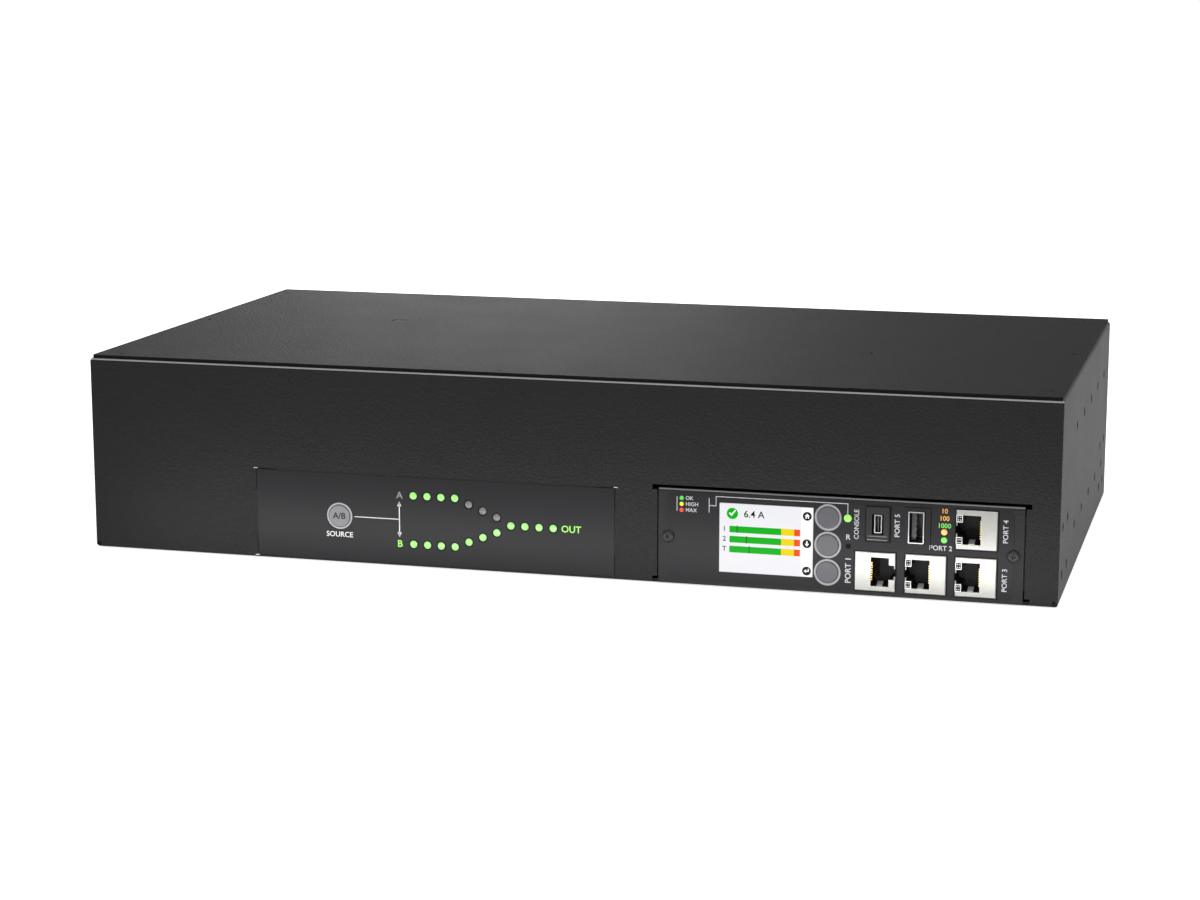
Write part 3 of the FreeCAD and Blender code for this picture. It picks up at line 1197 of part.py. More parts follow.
def ribbon_cables():
    status_start = STATUS_BOARD_Y + BOARD + HEADER_DEPTH
    module_end = MODULE_BOARD_Y + BOARD + HEADER_DEPTH
    across = [(STATUS_HEADER_X, status_start, MIMIC_Z), (STATUS_HEADER_X, -92, MIMIC_Z), (15, -84, MIMIC_Z),
              (MODULE_HEADER_X - 10, -84, MIMIC_Z), (MODULE_HEADER_X, -89, MIMIC_Z),
              (MODULE_HEADER_X, module_end, MIMIC_Z)]
    down = [(CONTROL_HEADER_X, module_end, CONTROL_HEADER_Z), (CONTROL_HEADER_X, -84, CONTROL_HEADER_Z),
            (CONTROL_HEADER_X, CONTROL_HEADER_Y, CONTROL_HEADER_Z - 6),
            (CONTROL_HEADER_X, CONTROL_HEADER_Y, BOARD_TOP + HEADER_DEPTH)]
    return [ribbon(across, (0, 0, RIBBON_WIDTH)), ribbon(down, (RIBBON_WIDTH, 0, 0))]


def ribbon(points, width):
    """A flat cable: its section swept along a route of straight runs and arcs, width along one axis."""
    path, radii = rounded_path(points)
    start = V(*points[0])
    ahead = V(*points[1]) - start
    ahead.normalize()
    across = V(*width)
    thick = ahead.cross(across)
    thick.normalize()
    half_a = across * 0.5
    half_t = thick * (RIBBON / 2)
    corners = [start - half_a - half_t, start + half_a - half_t,
               start + half_a + half_t, start - half_a + half_t]
    section = Part.makePolygon(corners + [corners[0]])
    strip = path.makePipeShell([section], True, False)
    expected = across.Length * RIBBON * path.Length
    print("ribbon radii", radii, "volume ratio", round(strip.Volume / expected, 4))
    return strip


def main():
    os.makedirs("parts", exist_ok=True)
    save("chassis_tray", [chassis_tray()])
    save("top_cover", [top_cover()])
    save("cover_screws", cover_screws())

    save("status_label", [status_label()])
    save("source_a_leds", leds(led_places(1)))
    save("source_b_leds", leds(led_places(-1)))
    save("output_leds", leds(output_led_places()))
    save("preference_button", [push_button(PREFERENCE_X, MIMIC_Z, PREFERENCE_R, STATUS_BOARD_Y)])
    save("status_board", [status_board()])

    save("module_faceplate", [module_faceplate()])
    save("module_label", [module_label()])
    save("module_screws", module_screws())
    save("module_board", [module_board()])
    save("module_posts", module_posts())
    save("lcd_display", [lcd_display()])
    save("lcd_holder", [lcd_holder()])
    for name, z in DISPLAY_BUTTONS.items():
        save(name, [push_button(DISPLAY_BUTTON_X, z, DISPLAY_BUTTON_R, MODULE_BOARD_Y)])
    switches = [tact_switch(DISPLAY_BUTTON_X, z, MODULE_BOARD_Y) for z in DISPLAY_BUTTONS.values()]
    save("button_switches", switches + [tact_switch(PREFERENCE_X, MIMIC_Z, STATUS_BOARD_Y)])
    save("status_lamp", [lamp(LAMP_X, LAMP_Z, LAMP_R, MODULE_BOARD_Y)])
    save("activity_lamp", [lamp(ACTIVITY_LAMP_X, ACTIVITY_LAMP_Z, SMALL_LAMP_R, MODULE_BOARD_Y)])
    save("link_lamp", [lamp(ACTIVITY_LAMP_X, LINK_LAMP_Z, SMALL_LAMP_R, MODULE_BOARD_Y)])
    save("reset_switch", [reset_switch()])
    save("reset_plunger", [reset_plunger()])
    wires = []
    for name, (x, z, latch_side) in JACKS.items():
        save(name, [jack(x, z, latch_side)])
        wires += contacts(x, z, latch_side)
    save("jack_contacts", wires)
    save("usb_port", [usb_port()])
    save("console_bezel", [console_bezel()])
    save("console_port", [console_port()])

    for name, (x, z) in STRIPS.items():
        save(name, [outlet_strip(x, z)])
    for name, z in LARGE_OUTLETS.items():
        save(name, [large_outlet(z)])
    for name, x in BREAKERS.items():
        save(name, [breaker(x)])
        save(name + "_handle", [breaker_handle(x)])
    for name, z in GLANDS.items():
        save(name, [gland(z)])
    save("gland_domes", [gland_dome(z) for z in GLANDS.values()])
    save("gland_locknuts", gland_locknuts())
    save("ground_screw", [ground_screw()])

    save("power_board", [power_board()])
    save("board_standoffs", board_standoffs())
    save("board_screws", board_screws())
    save("insulating_sheet", [insulating_sheet()])
    save("transfer_relays", [relay(x, RELAY_Y) for x in relay_columns()])
    save("supply_transformers", [supply_transformer(x, TRANSFORMER_Y) for x in TRANSFORMER_COLUMNS])
    save("current_sensors", [current_sensor(x, SENSOR_Y) for x in sensor_columns()])
    save("storage_capacitors", storage_capacitors())
    save("terminal_blocks", [terminal_block(*place) for place in TERMINALS])
    save("output_leads", [lead(route) for route in lead_routes()])
    save("board_headers", board_headers())
    save("ribbon_cables", ribbon_cables())


main()
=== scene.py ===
import math

import bmesh
import bpy
from mathutils import Matrix, Vector


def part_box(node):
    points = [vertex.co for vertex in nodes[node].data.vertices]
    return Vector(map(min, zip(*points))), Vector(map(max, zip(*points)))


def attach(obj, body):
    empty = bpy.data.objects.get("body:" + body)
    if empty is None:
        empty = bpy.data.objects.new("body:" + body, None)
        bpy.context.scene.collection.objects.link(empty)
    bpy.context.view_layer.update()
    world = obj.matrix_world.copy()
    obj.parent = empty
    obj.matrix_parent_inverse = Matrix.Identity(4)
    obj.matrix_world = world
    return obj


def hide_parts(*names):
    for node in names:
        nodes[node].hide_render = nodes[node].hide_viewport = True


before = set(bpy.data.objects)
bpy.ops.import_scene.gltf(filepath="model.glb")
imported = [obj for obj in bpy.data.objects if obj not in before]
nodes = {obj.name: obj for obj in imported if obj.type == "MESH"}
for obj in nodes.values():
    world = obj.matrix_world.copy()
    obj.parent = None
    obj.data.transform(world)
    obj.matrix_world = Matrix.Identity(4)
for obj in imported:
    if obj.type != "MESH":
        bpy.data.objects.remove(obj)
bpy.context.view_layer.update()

# The studio: a white table and surroundings, two soft boxes low behind the switch that graze its
# cover, one long box overhead, one each to the right and in front, and a weak strip at its foot.
# The camera looks from a little to the right of the front and about eleven degrees above it.
scene = bpy.context.scene
scene.view_settings.view_transform = "Standard"
camera_data = bpy.data.cameras.new("photo_camera")
camera_data.sensor_width = 36.0
camera_data.lens = 79.43
camera_data.clip_end = 200.0
camera = bpy.data.objects.new("photo_camera", camera_data)
camera.location = (0.31106, -1.18829, 0.27209)
camera.rotation_euler = (math.radians(90.0 - 10.989), 0.0, math.radians(15.170))
scene.collection.objects.link(camera)
scene.camera = camera


def shade(red, green, blue):
    """A colour read from the picture, 0 to 255, as the linear colour that a shader takes."""
    return tuple(
        v / 3294.6 if v <= 10.3 else ((v / 255.0 + 0.055) / 1.055) ** 2.4
        for v in (red, green, blue)
    )


class Signal:
    """A node's output, on which plain arithmetic adds Math nodes."""

    def __init__(self, tree, socket):
        self.tree = tree
        self.socket = socket

    @staticmethod
    def maths(operation, *values):
        """A Math node whose inputs take the values, at least one of which is a Signal."""
        tree = next(value.tree for value in values if isinstance(value, Signal))
        step = tree.nodes.new("ShaderNodeMath")
        step.operation = operation
        for entry, value in zip(step.inputs, values):
            if isinstance(value, Signal):
                tree.links.new(value.socket, entry)
            else:
                entry.default_value = value
        return Signal(tree, step.outputs[0])

    def __add__(self, other):
        return self.maths("ADD", self, other)

    def __sub__(self, other):
        return self.maths("SUBTRACT", self, other)

    def __rsub__(self, other):
        return self.maths("SUBTRACT", other, self)

    def __mul__(self, other):
        return self.maths("MULTIPLY", self, other)

    def __lt__(self, other):
        return self.maths("LESS_THAN", self, other)

    def __gt__(self, other):
        return self.maths("GREATER_THAN", self, other)

    def __abs__(self):
        return self.maths("ABSOLUTE", self)


class Wiring:
    """A node tree, with one way to add a node: its type, its settings, then its sockets."""

    def __init__(self, tree):
        self.tree = tree

    def node(self, kind, settings=None, sockets=None, output=0):
        made = self.tree.nodes.new(kind)
        for name, value in (settings or {}).items():
            setattr(made, name, value)
        for key, value in (sockets or {}).items():
            self.feed(made.inputs[key], value)
        return Signal(self.tree, made.outputs[output]) if made.outputs else None

    def feed(self, entry, value):
        if isinstance(value, Signal):
            self.tree.links.new(value.socket, entry)
        elif isinstance(value, tuple) and len(value) == 3 and entry.type == "RGBA":
            entry.default_value = (*value, 1.0)
        else:
            entry.default_value = value

    def seen_directly(self):
        """One for rays from the camera, a mirror or glass, and zero for the rest."""
        camera_ray = self.node("ShaderNodeLightPath", output="Is Camera Ray")
        mirror_ray = self.node("ShaderNodeLightPath", output="Is Glossy Ray")
        glass_ray = self.node("ShaderNodeLightPath", output="Is Transmission Ray")
        return Signal.maths("MAXIMUM", camera_ray, Signal.maths("MAXIMUM", mirror_ray, glass_ray))


FILL_LEVEL = 0.6
world = bpy.data.worlds.new("studio")
world.use_nodes = True
scene.world = world
air = Wiring(world.node_tree)
sky = world.node_tree.nodes["Background"]
sky.inputs["Color"].default_value = (1.0, 1.0, 1.0, 1.0)
air.feed(sky.inputs["Strength"], air.seen_directly() * (1.0 - FILL_LEVEL) + FILL_LEVEL)

FLOOR_REACH = 14.0
FLOOR_DROP = 0.0003
FLOOR_WHITE = (0.82, 0.82, 0.82)
FLOOR_GLOW = 0.62
floor_mesh = bmesh.new()
bmesh.ops.create_grid(floor_mesh, x_segments=1, y_segments=1, size=FLOOR_REACH)
bmesh.ops.translate(floor_mesh, verts=floor_mesh.verts, vec=(0.0, 0.0, -FLOOR_DROP))
floor_data = bpy.data.meshes.new("table")
floor_mesh.to_mesh(floor_data)
floor = bpy.data.objects.new("table", floor_data)
scene.collection.objects.link(floor)
table_material = bpy.data.materials.new("white_table")
table_material.use_nodes = True
table = Wiring(table_material.node_tree)
table.tree.nodes.clear()
surface = table.node(
    "ShaderNodeAddShader",
    sockets={
        0: table.node("ShaderNodeBsdfDiffuse", sockets={"Color": FLOOR_WHITE}),
        1: table.node("ShaderNodeEmission", sockets={"Strength": table.seen_directly() * FLOOR_GLOW}),
    },
)
table.node("ShaderNodeOutputMaterial", sockets={"Surface": surface})
floor_data.materials.append(table_material)


def soft_box(name, place, aim, width, height, power):
    """A flat lamp that stands at a place and faces a point."""
    lamp = bpy.data.lights.new(name, "AREA")
    lamp.shape = "RECTANGLE"
    lamp.size = width
    lamp.size_y = height
    lamp.energy = power
    stand = bpy.data.objects.new(name, lamp)
    stand.location = place
    stand.rotation_euler = (Vector(aim) - Vector(place)).to_track_quat("-Z", "Y").to_euler()
    scene.collection.objects.link(stand)


soft_box("back_left_box", (-0.80, 1.05, 0.25), (-0.15, 0.05, 0.08), 0.4, 0.3, 1.0)
soft_box("back_box", (-0.42, 1.15, 0.26), (-0.08, 0.05, 0.08), 0.4, 0.3, 4.8)
soft_box("right_box", (1.30, 0.55, 0.50), (0.20, 0.0, 0.05), 0.8, 0.6, 2.0)
soft_box("front_box", (0.30, -1.60, 0.90), (0.0, 0.0, 0.04), 1.4, 0.8, 4.0)
soft_box("overhead_box", (0.10, -0.20, 1.30), (0.10, -0.10, 0.04), 1.2, 0.25, 6.0)
soft_box("low_strip", (0.02, -0.165, 0.005), (0.02, -0.117, 0.02), 0.46, 0.008, 0.13)


# The enclosure: a folded steel tray and a flat steel cover, both black powder coated. The coat
# is baked on and shows a fine leathery grain, a little lighter where it pools.
class Finish(Wiring):
    """One finish of the switch: a Principled shader whose plain values sit on its own sockets."""

    def __init__(self, name, colour, roughness, metallic=0.0, specular=0.5):
        self.material = bpy.data.materials.new(name)
        self.material.use_nodes = True
        super().__init__(self.material.node_tree)
        self.shader = self.tree.nodes["Principled BSDF"]
        self.set("Base Color", colour)
        self.set("Roughness", roughness)
        self.set("Metallic", metallic)
        self.set("Specular IOR Level", specular)

    def set(self, name, value):
        self.feed(self.shader.inputs[name], value)

    def place(self):
        return self.node("ShaderNodeTexCoord", output="Object")

    def along(self, axis):
        return self.node("ShaderNodeSeparateXYZ", sockets={0: self.place()}, output=axis)

    def noise(self, grain, detail=2.0, output="Fac"):
        """Soft noise whose blotches are about grain metres across."""
        values = {"Vector": self.place(), "Scale": 1.0 / grain, "Detail": detail}
        return self.node("ShaderNodeTexNoise", sockets=values, output=output)

    def blend(self, share, first, second):
        return self.node("ShaderNodeMix", {"data_type": "RGBA"}, {0: share, 6: first, 7: second}, 2)

    def bump(self, height, depth, strength=1.0):
        values = {"Height": height, "Distance": depth, "Strength": strength}
        self.set("Normal", self.node("ShaderNodeBump", sockets=values))

    def mottle(self, first, second, grain, low, high):
        """Colour and roughness that wander a little over the surface."""
        cloud = self.noise(grain)
        self.set("Base Color", self.blend(cloud, first, second))
        self.set("Roughness", cloud * (high - low) + low)


def finish_nodes(finish, *names):
    for name in names:
        for slot in nodes[name].material_slots:
            slot.material = finish.material


CLOUD_SIZE = 0.03
FOLD_HIGHLIGHT_COLOUR = shade(150, 150, 152)


def leathery(name, first, second, low, high, grain, depth, specular, fold=None):
    """A powder coat: soft cells of one size with finer noise over them. A fold, given by two
    heights and the Y that it ends at, gets a painted highlight: a light line of base colour along it."""
    coat = Finish(name, first, low, specular=specular)
    coat.mottle(first, second, CLOUD_SIZE, low, high)
    if fold:
        bottom, top, end = fold
        # painted highlight: a light band of base colour along the fold stands in for the light its bend
        # catches
        highlight_band = (coat.along("Z") > bottom) * (coat.along("Z") < top) * (coat.along("Y") < end)
        full = coat.blend(coat.noise(CLOUD_SIZE), first, second)
        coat.set("Base Color", coat.blend(highlight_band, full, FOLD_HIGHLIGHT_COLOUR))
    cells = coat.node(
        "ShaderNodeTexVoronoi",
        {"feature": "SMOOTH_F1"},
        {"Vector": coat.place(), "Scale": 1.0 / grain, "Smoothness": 0.7},
        "Distance",
    )
    coat.bump(cells + coat.noise(grain * 0.6) * 0.7, depth)
    return coat


# The top fold of the front panel gets a painted highlight line, placed by fold.
powder_coat = leathery(
    "baked_powder_coat", (0.008, 0.008, 0.0085), (0.012, 0.012, 0.0125),
    low=0.50, high=0.58, grain=0.0011, depth=0.00030, specular=0.15, fold=(0.0858, 0.0864, -0.1155),
)
finish_nodes(powder_coat, "chassis_tray")
cover_coat = leathery(
    "cover_powder_coat", (0.007, 0.007, 0.0075), (0.011, 0.011, 0.0115),
    low=0.66, high=0.74, grain=0.0011, depth=0.00018, specular=0.03,
)
finish_nodes(cover_coat, "top_cover")


# The cover screws: small countersunk screws of blackened steel with a cross recess, which hold
# the cover to the flanges of the tray. Their heads lie flush with the cover.
def solid_boxes(name):
    """The lowest and highest corners of each separate solid of a node, in metres."""
    shell = bmesh.new()
    shell.from_mesh(nodes[name].data)
    bmesh.ops.remove_doubles(shell, verts=shell.verts, dist=1e-6)
    waiting = set(shell.verts)
    boxes = []
    while waiting:
        first = waiting.pop()
        group = [first]
        for vertex in group:
            for edge in vertex.link_edges:
                other = edge.other_vert(vertex)
                if other in waiting:
                    waiting.discard(other)
                    group.append(other)
        lowest = Vector([min(v.co[i] for v in group) for i in range(3)])
        highest = Vector([max(v.co[i] for v in group) for i in range(3)])
        boxes.append((lowest, highest))
    shell.free()
    return sorted(boxes, key=lambda corners: tuple(corners[0]))


def turned(profile, steps=40):
    """A solid of revolution about Z from (radius, height) points that run from the axis to the axis."""
    solid = bmesh.new()
    corners = [solid.verts.new((radius, 0.0, height)) for radius, height in profile]
    edges = [solid.edges.new(pair) for pair in zip(corners, corners[1:])]
    bmesh.ops.spin(
        solid, geom=corners + edges, cent=(0, 0, 0), axis=(0, 0, 1), angle=2 * math.pi, steps=steps,
        use_merge=True,
    )
    bmesh.ops.remove_doubles(solid, verts=solid.verts, dist=1e-7)
    bmesh.ops.recalc_face_normals(solid, faces=solid.faces)
    return solid


def add_piece(name, shape, finish, body, stands_for=()):
    """Puts a finished mesh in the scene, on its body and with its finish."""
    mesh = bpy.data.meshes.new(name)
    shape.to_mesh(mesh)
    shape.free()
    mesh.materials.append(finish.material)
    piece = bpy.data.objects.new(name, mesh)
    scene.collection.objects.link(piece)
    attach(piece, body)
    if stands_for:
        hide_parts(*stands_for)


def copies(master, moves):
    """One mesh holding the master shape at each of the moves, and frees the master."""
    original = bpy.data.meshes.new("master")
    master.to_mesh(original)
    master.free()
    gathered = bmesh.new()
    for move in moves:
        original.transform(move)
        gathered.from_mesh(original)
        original.transform(move.inverted())
    bpy.data.meshes.remove(original)
    return gathered


RECESS_TAPER = (0.45, 0.75, 1.0)


def cross_screw(profile, recess_depth, wing, wing_width):
    """A screw that stands on Z with its head's top at zero, and a cross recess sunk in it."""
    blank = bpy.data.meshes.new("blank")
    turned(profile, 32).to_mesh(blank)
    body = bpy.data.objects.new("blank", blank)
    cross = bmesh.new()
    for turn in (0.0, 90.0):
        arm = bmesh.ops.create_cube(cross, size=1.0)["verts"]
        bmesh.ops.scale(cross, verts=arm, vec=(2.0 * wing, wing_width, 2.0 * recess_depth))
        foot = [v for v in arm if v.co.z < 0.0]
        bmesh.ops.scale(cross, verts=foot, vec=RECESS_TAPER)
        quarter = Matrix.Rotation(math.radians(turn), 3, "Z")
        bmesh.ops.rotate(cross, verts=arm, cent=(0, 0, 0), matrix=quarter)
    tool_mesh = bpy.data.meshes.new("cross")
    cross.to_mesh(tool_mesh)
    cross.free()
    tool = bpy.data.objects.new("cross", tool_mesh)
    for part in (body, tool):
        scene.collection.objects.link(part)
    cut = body.modifiers.new("cut", "BOOLEAN")
    cut.object = tool
    cut.operation = "DIFFERENCE"
    cut.solver = "EXACT"
    cut.use_self = True
    bpy.context.view_layer.update()
    carved = bpy.data.meshes.new_from_object(body.evaluated_get(bpy.context.evaluated_depsgraph_get()))
    for part, mesh in ((body, blank), (tool, tool_mesh)):
        bpy.data.objects.remove(part)
        bpy.data.meshes.remove(mesh)
    screw = bmesh.new()
    screw.from_mesh(carved)
    bpy.data.meshes.remove(carved)
    return screw


COVER_HEAD_R = 0.0028
TURN_OF_NEXT = 0.5
cover_profile = [
    (0.0, 0.0), (COVER_HEAD_R - 0.0001, 0.0), (COVER_HEAD_R, -0.0001), (COVER_HEAD_R, -0.0002),
    (0.0015, -0.0013), (0.0015, -0.0058), (0.0013, -0.0060), (0.0, -0.0060),
]
cover_places = [
    Matrix.Translation(((low.x + high.x) / 2, (low.y + high.y) / 2, high.z))
    @ Matrix.Rotation(TURN_OF_NEXT * n, 4, "Z")
    for n, (low, high) in enumerate(solid_boxes("cover_screws"))
]
cover_screw = cross_screw(cover_profile, recess_depth=0.0012, wing=0.0017, wing_width=0.00062)
dull_black = Finish("dull_black_screw", (0.008, 0.008, 0.009), 0.70, specular=0.03)
dull_black.mottle((0.006, 0.006, 0.007), (0.012, 0.012, 0.013), 0.0008, 0.66, 0.74)
dull_black.bump(dull_black.noise(0.0003), 0.00004)
add_piece(
    "cover_screw_set", copies(cover_screw, cover_places), dull_black, "enclosure",
    ("cover_screws",),
)


# The status label: a dark polyester film, printed from behind and stuck to the front panel. Its
# lines show one switch between two sources and the output, with a ring round the button.
class Ink:
    """A print in millimetres, and the tools that lay its very fine layer of ink on a front plane y."""

    def __init__(self, thickness=0.03):
        self.shape = bmesh.new()
        self.thickness = thickness

    def lay(self, verts, x, z, y):
        bmesh.ops.translate(self.shape, verts=verts, vec=(x, y - self.thickness / 2.0, z))

    def bar(self, x0, z0, x1, z1, y):
        verts = bmesh.ops.create_cube(self.shape, size=1.0)["verts"]
        bmesh.ops.scale(self.shape, verts=verts, vec=(abs(x1 - x0), self.thickness, abs(z1 - z0)))
        self.lay(verts, (x0 + x1) / 2.0, (z0 + z1) / 2.0, y)

    def disc(self, x, z, radius, y, sides=28):
        made = bmesh.ops.create_cone(
            self.shape, cap_ends=True, segments=sides, radius1=radius, radius2=radius,
            depth=self.thickness,
        )["verts"]
        facing = Matrix.Rotation(math.pi / 2, 3, "X")
        bmesh.ops.rotate(self.shape, verts=made, cent=(0, 0, 0), matrix=facing)
        self.lay(made, x, z, y)

    def ring(self, x, z, inner, outer, y, sides=48):
        loop = [(inner, -1), (outer, -1), (outer, 1), (inner, 1)]
        verts = [self.shape.verts.new((r, side * self.thickness / 2.0, 0.0)) for r, side in loop]
        edges = [self.shape.edges.new((verts[i], verts[(i + 1) % 4])) for i in range(4)]
        before = set(self.shape.verts) - set(verts)
        bmesh.ops.spin(
            self.shape, geom=verts + edges, cent=(0, 0, 0), axis=(0, 1, 0), angle=2 * math.pi,
            steps=sides, use_merge=True,
        )
        self.lay([v for v in self.shape.verts if v not in before], x, z, y)

    def outline(self, points, y):
        """A filled flat shape through a few (x, z) points."""
        verts = [self.shape.verts.new((x, -self.thickness / 2.0, z)) for x, z in points]
        face = self.shape.faces.new(verts)
        made = bmesh.ops.extrude_face_region(self.shape, geom=[face])["geom"]
        raised = [part for part in made if isinstance(part, bmesh.types.BMVert)]
        bmesh.ops.translate(self.shape, verts=raised, vec=(0.0, self.thickness, 0.0))
        self.lay(verts + raised, 0.0, 0.0, y)

    def words(self, text, x, z, size, y, turn=0.0, align="CENTER"):
        """Plain lettering whose capitals are about 0.7 of its size tall."""
        curve = bpy.data.curves.new("words", "FONT")
        curve.body = text
        curve.size = size
        curve.offset = 0.012 * size
        curve.align_x = align
        curve.align_y = "CENTER"
        curve.resolution_u = 3
        curve.extrude = self.thickness / 2.0
        holder = bpy.data.objects.new("words", curve)
        scene.collection.objects.link(holder)
        bpy.context.view_layer.update()
        drawn = holder.evaluated_get(bpy.context.evaluated_depsgraph_get())
        flat = bpy.data.meshes.new_from_object(drawn)
        bpy.data.objects.remove(holder)
        stand = Matrix.Rotation(math.pi / 2, 4, "X") @ Matrix.Rotation(math.radians(turn), 4, "Z")
        flat.transform(Matrix.Translation((x, y - self.thickness / 2.0, z)) @ stand)
        self.shape.from_mesh(flat)
        bpy.data.meshes.remove(flat)

    def done(self):
        bmesh.ops.scale(self.shape, verts=self.shape.verts, vec=(0.001, 0.001, 0.001))
        bmesh.ops.recalc_face_normals(self.shape, faces=self.shape.faces)
        return self.shape


def ink_finish(name, colour, glow=0.0):
    """Screen ink: flat and slightly uneven, and lit from behind where it glows."""
    ink = Finish(name, colour, 0.45, specular=0.3)
    ink.mottle(tuple(c * 0.94 for c in colour), colour, 0.0006, 0.40, 0.52)
    if glow:
        ink.set("Emission Color", colour)
        ink.set("Emission Strength", glow)
    return ink


LABEL_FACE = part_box("status_label")[0].y * 1000.0
LED_PITCH = 6.37
FIRST_LED = -64.0
MIMIC_Z = 21.0
ROW_RISE = 10.85
SLOPE = 2.48
ROW_STEPS = (0.0, 0.0, 0.0, 0.0, 1.0, 2.0, 3.0)
OUTPUT_LAMPS = 4
HALO_INNER_R = 1.68
HALO_OUTER_R = 2.15
PREFERENCE_X = -98.3
LETTER_X = -70.3


def printed_film(name):
    """Dark printed polyester with the faint orange-peel face that such films have."""
    film = Finish(name, shade(24, 24, 26), 0.42, specular=0.15)
    film.mottle(shade(22, 22, 24), shade(26, 26, 28), 0.05, 0.38, 0.46)
    film.bump(film.noise(0.0005), 0.000012)
    return film


finish_nodes(printed_film("dark_label_film"), "status_label")

white_ink = ink_finish("white_ink", shade(205, 205, 206))
grey_ink = ink_finish("grey_ink", shade(128, 128, 130))
dark_ink = ink_finish("dark_ink", shade(9, 9, 10))
dark_ink.set("Specular IOR Level", 0.05)
lit_ink = ink_finish("lit_green_ink", shade(134, 204, 84), 0.4)

lines = Ink()
lines.bar(-91.4, 20.85, -70.4, 21.2, LABEL_FACE)
lines.bar(-70.65, 13.6, -70.2, 28.5, LABEL_FACE)
for tip, base in ((13.0, 15.2), (29.1, 26.9)):
    lines.outline([(-70.42, tip), (-71.4, base), (-69.45, base)], LABEL_FACE)
lines.words("SOURCE", -98.4, 12.6, 3.3, LABEL_FACE)
# painted highlights: three short white dashes just outside the label's corners stand for light caught by
# raised corners of the panel
for x, z in ((-137.7, 40.6), (-137.7, 1.1), (27.6, 40.6)):
    lines.bar(x - 0.9, z - 0.14, x + 0.9, z + 0.14, LABEL_FACE + 0.2)
add_piece("mimic_lines_and_corner_highlights", lines.done(), white_ink, "enclosure")

unlit = Ink()
unlit.words("A", LETTER_X, 31.7, 4.3, LABEL_FACE)
add_piece("source_a_letter", unlit.done(), grey_ink, "enclosure")

lit = Ink()
lit.words("B", LETTER_X, 10.0, 4.3, LABEL_FACE)
lit.words("OUT", 7.8, 20.9, 4.2, LABEL_FACE)
add_piece("lit_letters", lit.done(), lit_ink, "enclosure")

ring_ink = ink_finish("button_ring_ink", shade(150, 150, 153))
button_ring = Ink()
button_ring.ring(PREFERENCE_X, MIMIC_Z, 5.15, 5.9, LABEL_FACE)
add_piece("preference_ring", button_ring.done(), ring_ink, "enclosure")

halos = Ink(0.02)
halo_places = [
    (FIRST_LED + LED_PITCH * n, MIMIC_Z + side * (ROW_RISE - SLOPE * step))
    for n, step in enumerate(ROW_STEPS)
    for side in (1.0, -1.0)
]
halo_places += [(FIRST_LED + LED_PITCH * (len(ROW_STEPS) + n), MIMIC_Z) for n in range(OUTPUT_LAMPS)]
for x, z in halo_places:
    halos.ring(x, z, HALO_INNER_R, HALO_OUTER_R, LABEL_FACE, 32)
add_piece("led_halos", halos.done(), dark_ink, "enclosure")


# The indicator lamps: small round light pipes of diffusing resin. On the label all glow green but
# three of source A, which are off and look grey. The module has two green ones and an orange one.
LIT_END = -0.041


def lens(name, colour, glow, unlit_from=None):
    """A round resin lens that glows, paler in soft random patches."""
    resin = Finish(name, colour, 0.28, specular=0.5)
    pale = tuple(0.75 * c + 0.12 for c in colour)
    cloud = resin.noise(0.0016, 1.0)
    tint = resin.blend(cloud, colour, pale)
    if unlit_from is None:
        resin.set("Base Color", tint)
        resin.set("Emission Color", tint)
    else:
        off = resin.along("X") > unlit_from
        resin.set("Base Color", resin.blend(off, tint, shade(94, 94, 93)))
        resin.set("Emission Color", resin.blend(off, tint, (0.0, 0.0, 0.0)))
    resin.set("Emission Strength", glow)
    return resin


def lens_row(name, node, finish):
    """Round light pipes with domed fronts, one in the place of each solid of a node."""
    boxes = solid_boxes(node)
    low, high = boxes[0]
    radius = (high.x - low.x) / 2.0
    depth = high.y - low.y
    profile = [
        (0.0, 0.0), (0.45 * radius, -0.00004), (0.8 * radius, -0.00016), (0.95 * radius, -0.0003),
        (radius, -0.0005), (radius, -depth), (0.0, -depth),
    ]
    facing = Matrix.Rotation(math.pi / 2, 4, "X")
    places = [
        Matrix.Translation(((low.x + high.x) / 2, low.y, (low.z + high.z) / 2)) @ facing
        for low, high in boxes
    ]
    add_piece(name, copies(turned(profile, 32), places), finish, "enclosure", (node,))


LIME = shade(122, 200, 84)
LIME_GLOW = 0.30
green_resin = lens("green_lamp_lens", LIME, LIME_GLOW)
part_lit_resin = lens("green_or_dark_lamp_lens", LIME, LIME_GLOW, LIT_END)
status_resin = lens("bright_green_lens", shade(110, 215, 34), 0.6)
link_resin = lens("green_link_lens", shade(74, 190, 40), 0.5)
activity_resin = lens("orange_lens_resin", shade(245, 160, 40), 0.6)
lens_row("source_b_lenses", "source_b_leds", green_resin)
lens_row("output_lenses", "output_leds", green_resin)
lens_row("source_a_lenses", "source_a_leds", part_lit_resin)
lens_row("status_lamp_lens", "status_lamp", status_resin)
lens_row("link_lamp_lens", "link_lamp", link_resin)
lens_row("activity_lamp_lens", "activity_lamp", activity_resin)


# The buttons: moulded grey caps with a satin face. The left one, with A/B printed on its face,
# picks the preferred source, and three on the right work the display.
satin_grey = Finish("satin_grey_cap", shade(68, 68, 72), 0.42, specular=0.4)
satin_grey.mottle(shade(65, 65, 69), shade(71, 71, 75), 0.004, 0.36, 0.48)
satin_grey.bump(satin_grey.noise(0.00025), 0.000012)


